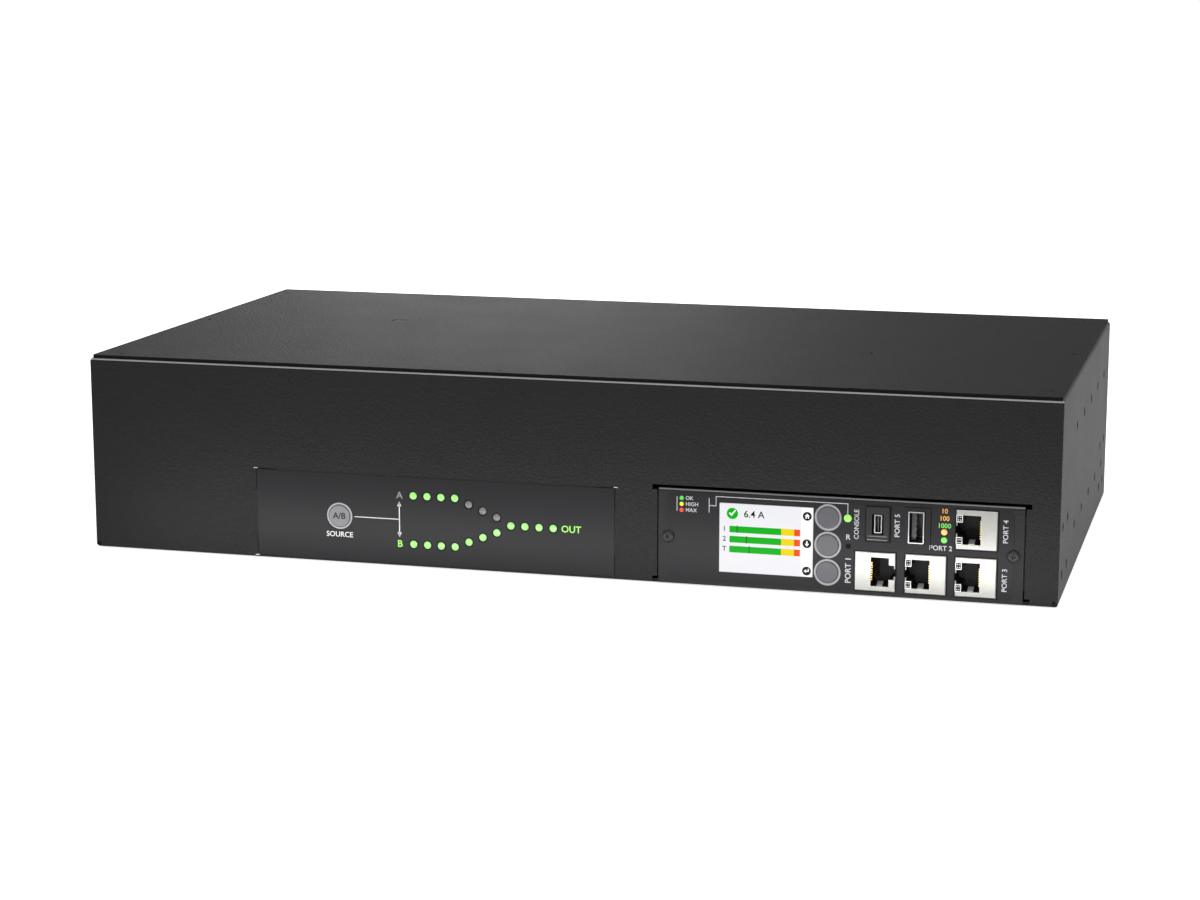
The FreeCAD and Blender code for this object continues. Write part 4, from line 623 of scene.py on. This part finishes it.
def round_cap(name, node, finish):
    """A button with a softly rounded edge and a faint dish, a flange behind the wall and a stem."""
    low, high = (corner * 1000.0 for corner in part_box(node))
    flange_r = (high.x - low.x) / 2.0
    flange_step, flange_thickness, edge_r, stem_r = 0.8, 0.8, 0.4, 1.7
    radius = flange_r - flange_step
    front = low.y
    wall = front + 1.85
    dish = [(0.0, front + 0.08), (radius * 0.5, front + 0.06), (radius * 0.8, front + 0.015)]
    edge = [
        (radius - edge_r + edge_r * math.sin(t), front + edge_r - edge_r * math.cos(t))
        for t in (0.0, 0.4, 0.8, 1.2, 1.57)
    ]
    rear = [
        (radius, wall), (flange_r, wall), (flange_r, wall + flange_thickness),
        (stem_r, wall + flange_thickness), (stem_r, high.y), (0.0, high.y),
    ]
    cap = turned([(r, -y) for r, y in dish + edge + rear], 64)
    facing = Matrix.Rotation(math.pi / 2, 3, "X")
    bmesh.ops.rotate(cap, verts=cap.verts, cent=(0, 0, 0), matrix=facing)
    bmesh.ops.translate(cap, verts=cap.verts, vec=((low.x + high.x) / 2.0, 0.0, (low.z + high.z) / 2.0))
    bmesh.ops.scale(cap, verts=cap.verts, vec=(0.001, 0.001, 0.001))
    for face in cap.faces:
        face.smooth = True
    add_piece(name, cap, finish, node, (node,))


for button in ("home_button", "scroll_button", "enter_button"):
    round_cap(button.replace("button", "cap"), button, satin_grey)
pale_cap = Finish("pale_grey_cap", shade(104, 104, 107), 0.42, specular=0.4)
pale_cap.mottle(shade(100, 100, 103), shade(108, 108, 111), 0.004, 0.36, 0.48)
pale_cap.bump(pale_cap.noise(0.00025), 0.000012)
round_cap("preference_cap", "preference_button", pale_cap)
LETTER_SINK = 0.05
cap_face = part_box("preference_button")[0].y * 1000.0 + LETTER_SINK
cap_words = Ink(0.02)
cap_words.words("A/B", PREFERENCE_X, MIMIC_Z, 3.9, cap_face)
add_piece("preference_cap_letters", cap_words.done(), dark_ink, "preference_button")


# The control module: a second folded plate with its own printed film, set in an opening of the
# front panel and held by two black screws. Its print names the ports and rings the buttons, and
# dark lines of painted shadow run along steps in the film, round its openings and in the reset hole.
# The top fold of the module plate gets a painted highlight line, placed by fold.
module_coat = leathery(
    "module_powder_coat", (0.008, 0.008, 0.0085), (0.012, 0.012, 0.0125),
    low=0.46, high=0.54, grain=0.0009, depth=0.00008, specular=0.18, fold=(0.0410, 0.0420, -0.1160),
)
finish_nodes(module_coat, "module_faceplate")
finish_nodes(printed_film("dark_overlay_film"), "module_label")

FILM_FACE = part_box("module_label")[0].y * 1000.0
BUTTON_X = 119.7
BUTTON_HEIGHTS = (32.8, 21.0, 9.2)
RING_INNER_R = 4.80
RING_OUTER_R = 5.70
pale_ink = ink_finish("pale_ink", shade(178, 178, 181))
rings = Ink()
for z in BUTTON_HEIGHTS:
    rings.ring(BUTTON_X, z, RING_INNER_R, RING_OUTER_R, FILM_FACE)
grey_ring_ink = ink_finish("grey_ring_ink", shade(138, 138, 141))
add_piece("display_button_rings", rings.done(), grey_ring_ink, "enclosure")

OK_Z, HIGH_Z, MAX_Z = 37.7, 35.1, 32.5
trace = Ink()
for left, foot, right, head in (
    (54.45, 32.0, 54.75, 38.3), (68.45, 32.0, 68.75, 38.3), (68.75, 34.95, 71.45, 35.25),
    (71.45, 34.95, 71.75, 39.3), (71.75, 39.0, 127.85, 39.3), (127.85, 34.7, 128.15, 39.3),
):
    trace.bar(left, foot, right, head, FILM_FACE)
for text, z in (("OK", OK_Z), ("HIGH", HIGH_Z), ("MAX", MAX_Z)):
    trace.words(text, 58.3, z, 2.3, FILM_FACE, align="LEFT")
for text, x, z, size, turn in (
    ("R", 128.3, 24.8, 3.2, 0.0),
    ("PORT 1", 128.6, 10.7, 3.4, 90.0),
    ("PORT 2", 167.2, 22.4, 2.9, 0.0),
    ("PORT 3", 194.0, 10.4, 3.0, 90.0),
    ("PORT 4", 194.0, 31.0, 3.0, 90.0),
    ("PORT 5", 149.0, 31.0, 3.0, 90.0),
    ("CONSOLE", 131.9, 30.6, 2.8, 90.0),
):
    trace.words(text, x, z, size, FILM_FACE, turn)
add_piece("module_prints", trace.done(), pale_ink, "enclosure")

for name, colour, z in (
    ("green_key_dot", shade(70, 200, 60), OK_Z),
    ("yellow_key_dot", shade(236, 214, 50), HIGH_Z),
    ("red_key_dot", shade(226, 62, 44), MAX_Z),
):
    dot = Ink()
    dot.disc(56.6, z, 0.9, FILM_FACE)
    add_piece(name, dot.done(), ink_finish(name + "_ink", colour), "enclosure")

SPEED_X = 168.5
SPEED_SIZE = 2.8
amber_numbers = Ink()
amber_numbers.words("10", SPEED_X, 38.2, SPEED_SIZE, FILM_FACE)
amber_numbers.words("100", SPEED_X, 35.1, SPEED_SIZE, FILM_FACE)
amber_ink = ink_finish("amber_ink", shade(222, 158, 74))
add_piece("amber_speed_numbers", amber_numbers.done(), amber_ink, "enclosure")
green_numbers = Ink()
green_numbers.words("1000", SPEED_X, 32.0, SPEED_SIZE, FILM_FACE)
green_ink = ink_finish("green_ink", shade(112, 206, 92))
add_piece("green_speed_number", green_numbers.done(), green_ink, "enclosure")

# painted shadow: black lines along the film's steps, a black disc in the reset hole and black frames round
# the ports, widest to the right and top
SHADOW_NEAR_SIDE, SHADOW_FAR_SIDE, SHADOW_HEAD, SHADOW_FOOT = 0.3, 0.5, 0.35, 0.25
step_shadows = Ink(0.05)
step_shadows.bar(162.75, 21.0, 163.15, 39.2, FILM_FACE)
step_shadows.bar(151.6, 39.0, 163.15, 39.35, FILM_FACE)
step_shadows.disc(128.5, MIMIC_Z, 1.15, FILM_FACE)
ports = ("universal_port_jack", "link_a_jack", "link_b_jack", "network_jack", "usb_port", "console_bezel")
for name in ports:
    low, high = (corner * 1000.0 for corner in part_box(name))
    step_shadows.bar(low.x - SHADOW_NEAR_SIDE, high.z, high.x + SHADOW_FAR_SIDE, high.z + SHADOW_HEAD, FILM_FACE)
    step_shadows.bar(low.x - SHADOW_NEAR_SIDE, low.z - SHADOW_FOOT, high.x + SHADOW_FAR_SIDE, low.z, FILM_FACE)
    step_shadows.bar(low.x - SHADOW_NEAR_SIDE, low.z, low.x, high.z, FILM_FACE)
    step_shadows.bar(high.x, low.z, high.x + SHADOW_FAR_SIDE, high.z, FILM_FACE)
add_piece("film_step_shadow_lines", step_shadows.done(), dark_ink, "enclosure")

MODULE_HEAD_R = 0.0026
FIRST_TURN = 0.4
module_profile = [
    (0.0, 0.0), (0.0016, -0.0001), (0.0023, -0.0004), (MODULE_HEAD_R, -0.0008), (MODULE_HEAD_R, -0.0015),
    (0.0015, -0.0015), (0.0015, -0.0048), (0.0013, -0.0050), (0.0, -0.0050),
]
facing_front = Matrix.Rotation(math.pi / 2, 4, "X")
module_places = [
    Matrix.Translation(((low.x + high.x) / 2, low.y, (low.z + high.z) / 2)) @ facing_front
    @ Matrix.Rotation(FIRST_TURN + n, 4, "Z")
    for n, (low, high) in enumerate(solid_boxes("module_screws"))
]
black_oxide = Finish("black_oxide_steel", (0.012, 0.012, 0.013), 0.40, 0.35, 0.3)
black_oxide.mottle((0.010, 0.010, 0.011), (0.022, 0.021, 0.020), 0.0008, 0.34, 0.48)
black_oxide.bump(black_oxide.noise(0.0003), 0.00001)
module_screw = cross_screw(module_profile, recess_depth=0.0011, wing=0.0016, wing_width=0.0006)
add_piece(
    "module_screw_pair", copies(module_screw, module_places), black_oxide, "enclosure",
    ("module_screws",),
)


# The display: a small colour panel behind clear glass, lit from behind. It shows the total
# current, one bar for each output bank and one for the total, and a sign beside each button.
DISPLAY_LOW, DISPLAY_HIGH = (corner * 1000.0 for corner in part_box("lcd_display"))
GLASS = FILM_FACE
screen_white = Finish("lit_screen", shade(238, 238, 240), 0.34, specular=0.1)
pixels = screen_white.noise(0.0004, 0.0)
screen_white.set("Emission Color", screen_white.blend(pixels, shade(229, 229, 233), shade(236, 237, 238)))
screen_white.set("Base Color", screen_white.blend(pixels, shade(92, 92, 96), shade(96, 96, 99)))
screen_white.set("Emission Strength", 0.86)
finish_nodes(screen_white, "lcd_display")


def screen_finish(name, colour, glow=0.84):
    """A colour of the lit panel: mostly its own light, under a smooth glass."""
    dye = Finish(name, tuple(0.12 * c for c in colour), 0.34, specular=0.06)
    dye.set("Emission Color", dye.blend(dye.noise(0.0004, 0.0), tuple(0.95 * c for c in colour), colour))
    dye.set("Emission Strength", glow)
    return dye


BAR_LEFT, YELLOW_FROM, RED_FROM, BAR_RIGHT = 77.5, 99.8, 105.35, 107.9
BAR_HALF_HEIGHT = 1.42
OVER_GLASS = GLASS - 0.02
OVER_MARKS = GLASS - 0.04
SIGN_X = 110.85
bars = ((25.4, 80.8, "1"), (21.05, 84.9, "2"), (16.75, 86.1, "T"))
green_part, yellow_part, red_part, column, dark_marks = (Ink(0.02) for n in range(5))
for z, reading, label in bars:
    for part, left, right in (
        (green_part, BAR_LEFT, YELLOW_FROM),
        (yellow_part, YELLOW_FROM, RED_FROM),
        (red_part, RED_FROM, BAR_RIGHT),
    ):
        part.bar(left, z - BAR_HALF_HEIGHT, right, z + BAR_HALF_HEIGHT, GLASS)
    dark_marks.bar(reading - 0.15, z - 1.5, reading + 0.15, z + 1.8, OVER_GLASS)
    dark_marks.words(label, 75.3, z, 3.0, GLASS)
green_part.disc(78.7, 32.2, 2.45, GLASS)
dark_marks.words("6.4 A", 83.6, 32.1, 4.1, GLASS, align="LEFT")
column.bar(108.4, DISPLAY_LOW.z + 0.1, DISPLAY_HIGH.x - 0.1, DISPLAY_HIGH.z - 0.1, GLASS)
for z in BUTTON_HEIGHTS:
    dark_marks.disc(SIGN_X, z, 1.9, OVER_GLASS)
tick = Ink(0.02)
tick.outline(
    [(77.2, 32.2), (77.7, 32.7), (78.3, 32.05), (79.8, 33.9), (80.3, 33.5), (78.35, 31.05)],
    OVER_GLASS,
)
house_z, down_z, enter_z = BUTTON_HEIGHTS
tick.outline(
    [(109.75, house_z + 0.05), (110.85, house_z + 1.15), (111.95, house_z + 0.05), (111.6, house_z + 0.05),
     (111.6, house_z - 1.0), (111.1, house_z - 1.0), (111.1, house_z - 0.3), (110.6, house_z - 0.3),
     (110.6, house_z - 1.0), (110.1, house_z - 1.0), (110.1, house_z + 0.05)],
    OVER_MARKS,
)
tick.outline(
    [(110.55, down_z + 1.15), (111.15, down_z + 1.15), (111.15, down_z), (111.85, down_z),
     (110.85, down_z - 1.2), (109.85, down_z), (110.55, down_z)],
    OVER_MARKS,
)
tick.outline(
    [(111.9, enter_z + 1.0), (111.4, enter_z + 1.0), (111.4, enter_z + 0.2), (110.7, enter_z + 0.2),
     (110.7, enter_z + 0.8), (109.6, enter_z - 0.05), (110.7, enter_z - 0.9), (110.7, enter_z - 0.3),
     (111.9, enter_z - 0.3)],
    OVER_MARKS,
)
for name, part, finish in (
    ("screen_green_part", green_part, screen_finish("screen_green", shade(0, 178, 18))),
    ("screen_yellow_part", yellow_part, screen_finish("screen_yellow", shade(242, 216, 0))),
    ("screen_red_part", red_part, screen_finish("screen_red", shade(240, 84, 30))),
    ("screen_column", column, screen_finish("screen_bright_white", shade(250, 251, 252), 0.95)),
    ("screen_dark_marks", dark_marks, screen_finish("screen_black", shade(22, 22, 24), 0.5)),
    ("screen_white_signs", tick, screen_finish("screen_sign_white", shade(250, 250, 250), 0.95)),
):
    add_piece(name, part.done(), finish, "enclosure")


# The four network jacks: nickel-plated shields round black sockets, each with gilt contact tips
# that glow faintly as a painted glint, a thin dark sheet of painted shade beyond its keyway and
# a bent spring at its foot. Three of them have a pair of lamp windows beside the latch.
nickel = Finish("brushed_nickel", shade(144, 143, 139), 0.36, 0.85, 0.3)
streaks = nickel.node(
    "ShaderNodeTexNoise",
    sockets={
        "Vector": nickel.node(
            "ShaderNodeMapping", sockets={"Vector": nickel.place(), "Scale": (3000.0, 300.0, 180.0)}
        ),
        "Scale": 1.0,
        "Detail": 2.0,
    },
)
nickel.bump(streaks, 0.000008)
JACK_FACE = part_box("network_jack")[0].y
FACE_DEPTH = 0.0006
hollow = nickel.along("Y") > JACK_FACE + FACE_DEPTH
nickel_colour = nickel.blend(nickel.noise(0.003), shade(138, 137, 133), shade(150, 149, 145))
nickel.set("Base Color", nickel.blend(hollow, nickel_colour, (0.002, 0.002, 0.002)))
nickel.set("Metallic", 0.85 - hollow * 0.85)
nickel.set("Roughness", hollow * 0.25 + 0.36)
finish_nodes(nickel, "universal_port_jack", "link_a_jack", "link_b_jack", "network_jack")

gold_with_painted_glint = Finish("gold_flash_painted_glint", (0.83, 0.58, 0.22), 0.26, 1.0)
gold_with_painted_glint.mottle((0.78, 0.54, 0.20), (0.86, 0.62, 0.26), 0.001, 0.22, 0.32)
# painted glint: the contact tips glow faintly, though they are no lamp, to stand in for their highlights
gold_with_painted_glint.set("Emission Color", (0.83, 0.66, 0.34))
gold_with_painted_glint.set("Emission Strength", 0.22)
shaded_gold = Finish("shaded_gold", (0.07, 0.05, 0.02), 0.42, 0.6)
shaded_gold.mottle((0.06, 0.04, 0.016), (0.08, 0.06, 0.025), 0.001, 0.36, 0.48)
finish_nodes(shaded_gold, "jack_contacts")

CONTACTS = 8
CONTACT_PITCH = 1.02
CONTACT_X = 1.5
SPRING_X = 2.05
KEYWAY_SHADE_X = 8.73
WINDOW_X = 7.15
WINDOW_Z = 4.75
tips = bmesh.new()
keyway_shade_sheets = bmesh.new()
window_frames = Ink(0.05)
window_glass = Ink(0.05)
window_dots = Ink(0.03)
spring_places = []
for name, latch in (
    ("universal_port_jack", 1.0),
    ("link_a_jack", -1.0),
    ("link_b_jack", -1.0),
    ("network_jack", -1.0),
):
    low, high = (corner * 1000.0 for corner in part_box(name))
    centre_x = (low.x + high.x) / 2.0
    centre_z = (low.z + high.z) / 2.0
    foot = Vector((centre_x + latch * SPRING_X, low.y, centre_z))
    spring_places.append(Matrix.Translation(foot / 1000.0))
    # painted shade: a thin black sheet stands in the open keyway gap, where there is only shade, so the
    # board behind does not show
    wall = bmesh.ops.create_cube(keyway_shade_sheets, size=1.0)["verts"]
    bmesh.ops.scale(keyway_shade_sheets, verts=wall, vec=(0.0001, 0.0112, 0.0036))
    place = (centre_x + latch * KEYWAY_SHADE_X, low.y + 6.2, centre_z)
    bmesh.ops.translate(keyway_shade_sheets, verts=wall, vec=Vector(place) / 1000.0)
    for n in range(CONTACTS):
        tip = bmesh.ops.create_cube(tips, size=1.0)["verts"]
        across = (n - (CONTACTS - 1) / 2.0) * CONTACT_PITCH
        place = (centre_x - latch * CONTACT_X, low.y + 1.4, centre_z + across)
        bmesh.ops.scale(tips, verts=tip, vec=(0.00045, 0.0008, 0.00048))
        bmesh.ops.translate(tips, verts=tip, vec=Vector(place) / 1000.0)
    if latch > 0:
        continue
    for side in (1.0, -1.0):
        x = centre_x - WINDOW_X
        z = centre_z + side * WINDOW_Z
        window_frames.bar(x - 1.3, z - 1.55, x + 1.3, z + 1.55, low.y)
        window_glass.bar(x - 1.0, z - 1.25, x + 1.0, z + 1.25, low.y - 0.05)
        for dx in (-0.45, 0.45):
            for dz in (-0.6, 0.6):
                window_dots.disc(x + dx, z + dz, 0.27, low.y - 0.1, 12)
clear_window = Finish("clear_lamp_window", shade(226, 226, 222), 0.30, specular=0.5)
clear_window.mottle(shade(220, 220, 216), shade(230, 230, 227), 0.0008, 0.24, 0.36)
add_piece("jack_contact_tips", tips, gold_with_painted_glint, "enclosure")
add_piece("jack_keyway_painted_shade", keyway_shade_sheets, dark_ink, "enclosure")
add_piece("jack_window_frames", window_frames.done(), clear_window, "enclosure")
add_piece("jack_window_lamps", window_glass.done(), dark_ink, "enclosure")
add_piece("jack_window_dots", window_dots.done(), white_ink, "enclosure")

spring = bmesh.new()
leaf = bmesh.ops.create_cube(spring, size=1.0)["verts"]
bmesh.ops.scale(spring, verts=leaf, vec=(0.0025, 0.0032, 0.00022))
bmesh.ops.rotate(spring, verts=leaf, cent=(0, 0, 0), matrix=Matrix.Rotation(math.radians(28.0), 3, "X"))
bmesh.ops.translate(spring, verts=leaf, vec=(0.0, 0.0017, -0.0053))
bmesh.ops.bevel(
    spring, geom=spring.edges[:], offset=0.00006, offset_type="OFFSET", affect="EDGES", segments=2,
    profile=0.5, material=-1,
)
spring_steel = Finish("bright_spring_steel", shade(214, 214, 211), 0.30, 0.8)
spring_steel.mottle(shade(206, 206, 203), shade(220, 220, 217), 0.001, 0.25, 0.36)
add_piece("jack_shield_springs", copies(spring, spring_places), spring_steel, "enclosure")


# The USB host port and the console port: drawn steel shells, plated bright. The first has a
# black tongue on its left with four contacts, darkened as painted shade, and the second sits in a
# black moulded bezel, with light lines of painted highlight along its lower edges.
BLADES = 4
BLADE_PITCH = 0.0024
BLADE_DEPTH = 0.0062
shell_low, shell_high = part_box("usb_port")
tongue_x = (shell_low.x + shell_high.x) / 2.0 - 0.00135
tongue_face = tongue_x + 0.00098


def dark_inside(finish, low, high, wall, metal):
    """Blackens what lies inside a drawn shell's own wall, such as its tongue."""
    inside = (abs(finish.along("X") - (low.x + high.x) / 2.0) < (high.x - low.x) / 2.0 - wall) * (
        abs(finish.along("Z") - (low.z + high.z) / 2.0) < (high.z - low.z) / 2.0 - wall
    )
    finish.set("Base Color", finish.blend(inside, metal, (0.016, 0.016, 0.017)))
    finish.set("Metallic", 1.0 - inside)


port_low, port_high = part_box("console_port")
console_shell = Finish("console_shell", shade(142, 143, 145), 0.32, 1.0)
dark_inside(console_shell, port_low, port_high, wall=0.00042, metal=shade(142, 143, 145))
console_shell.bump(console_shell.noise(0.0004), 0.000008)
finish_nodes(console_shell, "console_port")
usb = Finish("plated_shell_with_tongue", shade(160, 161, 163), 0.28, 1.0)
dark_inside(usb, shell_low, shell_high, wall=0.00045, metal=shade(160, 161, 163))
usb.bump(usb.noise(0.0004), 0.000008)
finish_nodes(usb, "usb_port")
bezel = Finish("moulded_bezel", (0.010, 0.010, 0.011), 0.46, specular=0.2)
bezel.mottle((0.009, 0.009, 0.010), (0.012, 0.012, 0.013), 0.002, 0.42, 0.50)
bezel.bump(bezel.noise(0.0002), 0.00001)
finish_nodes(bezel, "console_bezel")

usb_blades = bmesh.new()
for n in range(BLADES):
    blade = bmesh.ops.create_cube(usb_blades, size=1.0)["verts"]
    bmesh.ops.scale(usb_blades, verts=blade, vec=(0.0002, 0.0065, 0.0009))
    height = (shell_low.z + shell_high.z) / 2.0 + (n - (BLADES - 1) / 2.0) * BLADE_PITCH
    place = (tongue_face, shell_low.y + BLADE_DEPTH, height)
    bmesh.ops.translate(usb_blades, verts=blade, vec=place)
# painted shade: the USB contacts get a dark, dull colour for the shade deep inside the port
contact_in_shade = Finish("usb_contact_painted_shade", (0.16, 0.13, 0.08), 0.45, 0.6)
contact_in_shade.mottle((0.14, 0.11, 0.07), (0.18, 0.15, 0.09), 0.001, 0.40, 0.50)
add_piece("usb_contact_blades", usb_blades, contact_in_shade, "enclosure")

bezel_low, bezel_high = (corner * 1000.0 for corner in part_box("console_bezel"))
# painted highlights: two grey lines on the black bezel stand for the light caught by its lower edges
bezel_edge_highlights = Ink(0.04)
bezel_edge_highlights.bar(bezel_low.x + 1.0, bezel_low.z + 2.3, bezel_high.x - 1.0, bezel_low.z + 2.5, bezel_low.y)
bezel_edge_highlights.bar(bezel_low.x + 0.9, bezel_low.z + 0.75, bezel_high.x - 0.9, bezel_low.z + 1.0, bezel_low.y)
add_piece("console_bezel_edge_highlights", bezel_edge_highlights.done(), grey_ink, "enclosure")


# The rear: outlet strips and breakers of black moulded plastic, set in the rear wall. The breakers
# have rocker handles of white plastic, with a line printed for ON and a ring for OFF.
moulded = Finish("outlet_moulding", (0.016, 0.016, 0.017), 0.38, specular=0.5)
moulded.mottle((0.014, 0.014, 0.015), (0.020, 0.020, 0.021), 0.004, 0.34, 0.46)
moulded.bump(moulded.noise(0.0003), 0.000015)
finish_nodes(
    moulded, "bank_1_upper_outlets", "bank_1_lower_outlets", "bank_2_upper_outlets", "bank_2_lower_outlets",
    "upper_large_outlet", "lower_large_outlet", "bank_1_breaker", "bank_2_breaker",
)
rocker = Finish("white_rocker", shade(222, 222, 217), 0.34, specular=0.5)
rocker.mottle(shade(216, 216, 211), shade(226, 226, 222), 0.004, 0.30, 0.40)
rocker.bump(rocker.noise(0.0003), 0.00001)
finish_nodes(rocker, "bank_1_breaker_handle", "bank_2_breaker_handle")
MARK_FACE = 0.03
breaker_marks = Ink()
for name in ("bank_1_breaker", "bank_2_breaker"):
    low, high = (corner * 1000.0 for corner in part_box(name))
    x = (low.x + high.x) / 2.0
    z = (low.z + high.z) / 2.0
    breaker_marks.bar(x - 0.25, z + 13.2, x + 0.25, z + 16.0, high.y + MARK_FACE)
    breaker_marks.ring(x, z - 14.6, 1.1, 1.55, high.y + MARK_FACE, 32)
add_piece("breaker_on_off_marks", breaker_marks.done(), white_ink, "enclosure")


# The cord entries: black nylon glands, each with a hexagon, a domed nut and a locknut inside.
# A ring of soft rubber in the dome waits for the supply cord, which the photograph leaves out.
nylon = Finish("gland_nylon", (0.017, 0.017, 0.018), 0.40, specular=0.45)
nylon.mottle((0.015, 0.015, 0.016), (0.022, 0.022, 0.023), 0.003, 0.36, 0.48)
nylon.bump(nylon.noise(0.00035), 0.00002)
finish_nodes(nylon, "source_a_gland", "source_b_gland", "gland_domes", "gland_locknuts")
rubber = Finish("seal_rubber", (0.010, 0.010, 0.010), 0.75, specular=0.3)
rubber.mottle((0.008, 0.008, 0.008), (0.014, 0.014, 0.014), 0.002, 0.70, 0.82)
rubber.bump(rubber.noise(0.0004), 0.00003)
SEAL_PROFILE = [
    (0.0062, -0.0014), (0.0066, -0.0022), (0.0084, -0.0022), (0.0084, -0.0110), (0.0060, -0.0110),
    (0.0058, -0.0100), (0.0058, -0.0030), (0.0062, -0.0014),
]
seal = turned(SEAL_PROFILE, 48)
facing_rear = Matrix.Rotation(-math.pi / 2, 4, "X")
seal_places = [
    Matrix.Translation(((low.x + high.x) / 2, high.y, (low.z + high.z) / 2)) @ facing_rear
    for low, high in solid_boxes("gland_domes")
]
add_piece("gland_seals", copies(seal, seal_places), rubber, "enclosure")


# The earth screw at the rear: a pan head with a cross recess, over a washer, in zinc-plated steel.
# The standoffs, posts and screws of the boards inside have the same plating.
zinc = Finish("zinc_plate", shade(196, 197, 196), 0.32, 1.0)
zinc.mottle(shade(184, 186, 184), shade(206, 206, 204), 0.0012, 0.26, 0.42)
zinc.bump(zinc.noise(0.0003), 0.000012)
finish_nodes(zinc, "board_standoffs", "board_screws", "module_posts")
earth_low, earth_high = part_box("ground_screw")
EARTH_LENGTH = earth_high.y - earth_low.y
earth_profile = [
    (0.0, 0.0), (0.0030, -0.0001), (0.0037, -0.0004), (0.0040, -0.0009), (0.0040, -0.0026),
    (0.0050, -0.0026), (0.0050, -0.0036), (0.0020, -0.0036), (0.0020, -EARTH_LENGTH),
    (0.0, -EARTH_LENGTH),
]
earth_place = Matrix.Translation(
    ((earth_low.x + earth_high.x) / 2, earth_high.y, (earth_low.z + earth_high.z) / 2)
) @ facing_rear
earth_screw = cross_screw(earth_profile, recess_depth=0.0016, wing=0.0023, wing_width=0.0008)
add_piece(
    "earth_cross_screw", copies(earth_screw, [earth_place]), zinc, "enclosure",
    ("ground_screw",),
)


# The inside: fibreglass boards under a green resist, with relays, supply transformers, current
# sensors, capacitors and terminals, joined by black leads and grey ribbon cables.
def bare_finish(name, first, second, grain, low, high, depth, metallic=0.0):
    made = Finish(name, first, low, metallic)
    made.mottle(first, second, grain, low, high)
    made.bump(made.noise(grain * 0.1), depth)
    return made


resist = bare_finish("green_resist", (0.006, 0.10, 0.035), (0.008, 0.15, 0.055), 0.004, 0.28, 0.4, 0.00002)
finish_nodes(resist, "power_board", "status_board", "module_board")
finish_nodes(
    bare_finish("black_moulding", (0.014, 0.014, 0.015), (0.020, 0.020, 0.021), 0.003, 0.34, 0.46, 0.00001),
    "button_switches", "reset_switch", "reset_plunger", "transfer_relays",
)
finish_nodes(
    bare_finish("white_nylon", (0.62, 0.61, 0.58), (0.70, 0.69, 0.66), 0.003, 0.38, 0.5, 0.00001),
    "board_headers", "lcd_holder",
)
finish_nodes(
    bare_finish("blue_casing", (0.012, 0.06, 0.22), (0.016, 0.08, 0.27), 0.003, 0.34, 0.45, 0.00001),
    "current_sensors",
)
finish_nodes(
    bare_finish("capacitor_sleeving", (0.012, 0.013, 0.022), (0.02, 0.021, 0.034), 0.003, 0.2, 0.3, 0.00001),
    "storage_capacitors",
)
finish_nodes(
    bare_finish("terminal_moulding", (0.02, 0.20, 0.07), (0.03, 0.25, 0.09), 0.003, 0.36, 0.48, 0.00001),
    "terminal_blocks",
)
finish_nodes(
    bare_finish("laminated_core", (0.09, 0.09, 0.095), (0.14, 0.14, 0.145), 0.003, 0.4, 0.55, 0.00002, 0.8),
    "supply_transformers",
)
finish_nodes(
    bare_finish("lead_covering", (0.012, 0.012, 0.012), (0.018, 0.018, 0.018), 0.002, 0.42, 0.52, 0.00001),
    "output_leads",
)
finish_nodes(
    bare_finish("insulating_film", (0.60, 0.58, 0.50), (0.66, 0.64, 0.56), 0.006, 0.3, 0.4, 0.00001),
    "insulating_sheet",
)
CORE_PITCH = 0.00127
ribbon = Finish("ribbon_covering", (0.30, 0.30, 0.31), 0.45)
ribbon.bump(Signal.maths("SINE", ribbon.along("X") * (2.0 * math.pi / CORE_PITCH)), 0.00012)
ribbon.mottle((0.27, 0.27, 0.28), (0.33, 0.33, 0.34), 0.002, 0.42, 0.5)
finish_nodes(ribbon, "ribbon_cables")
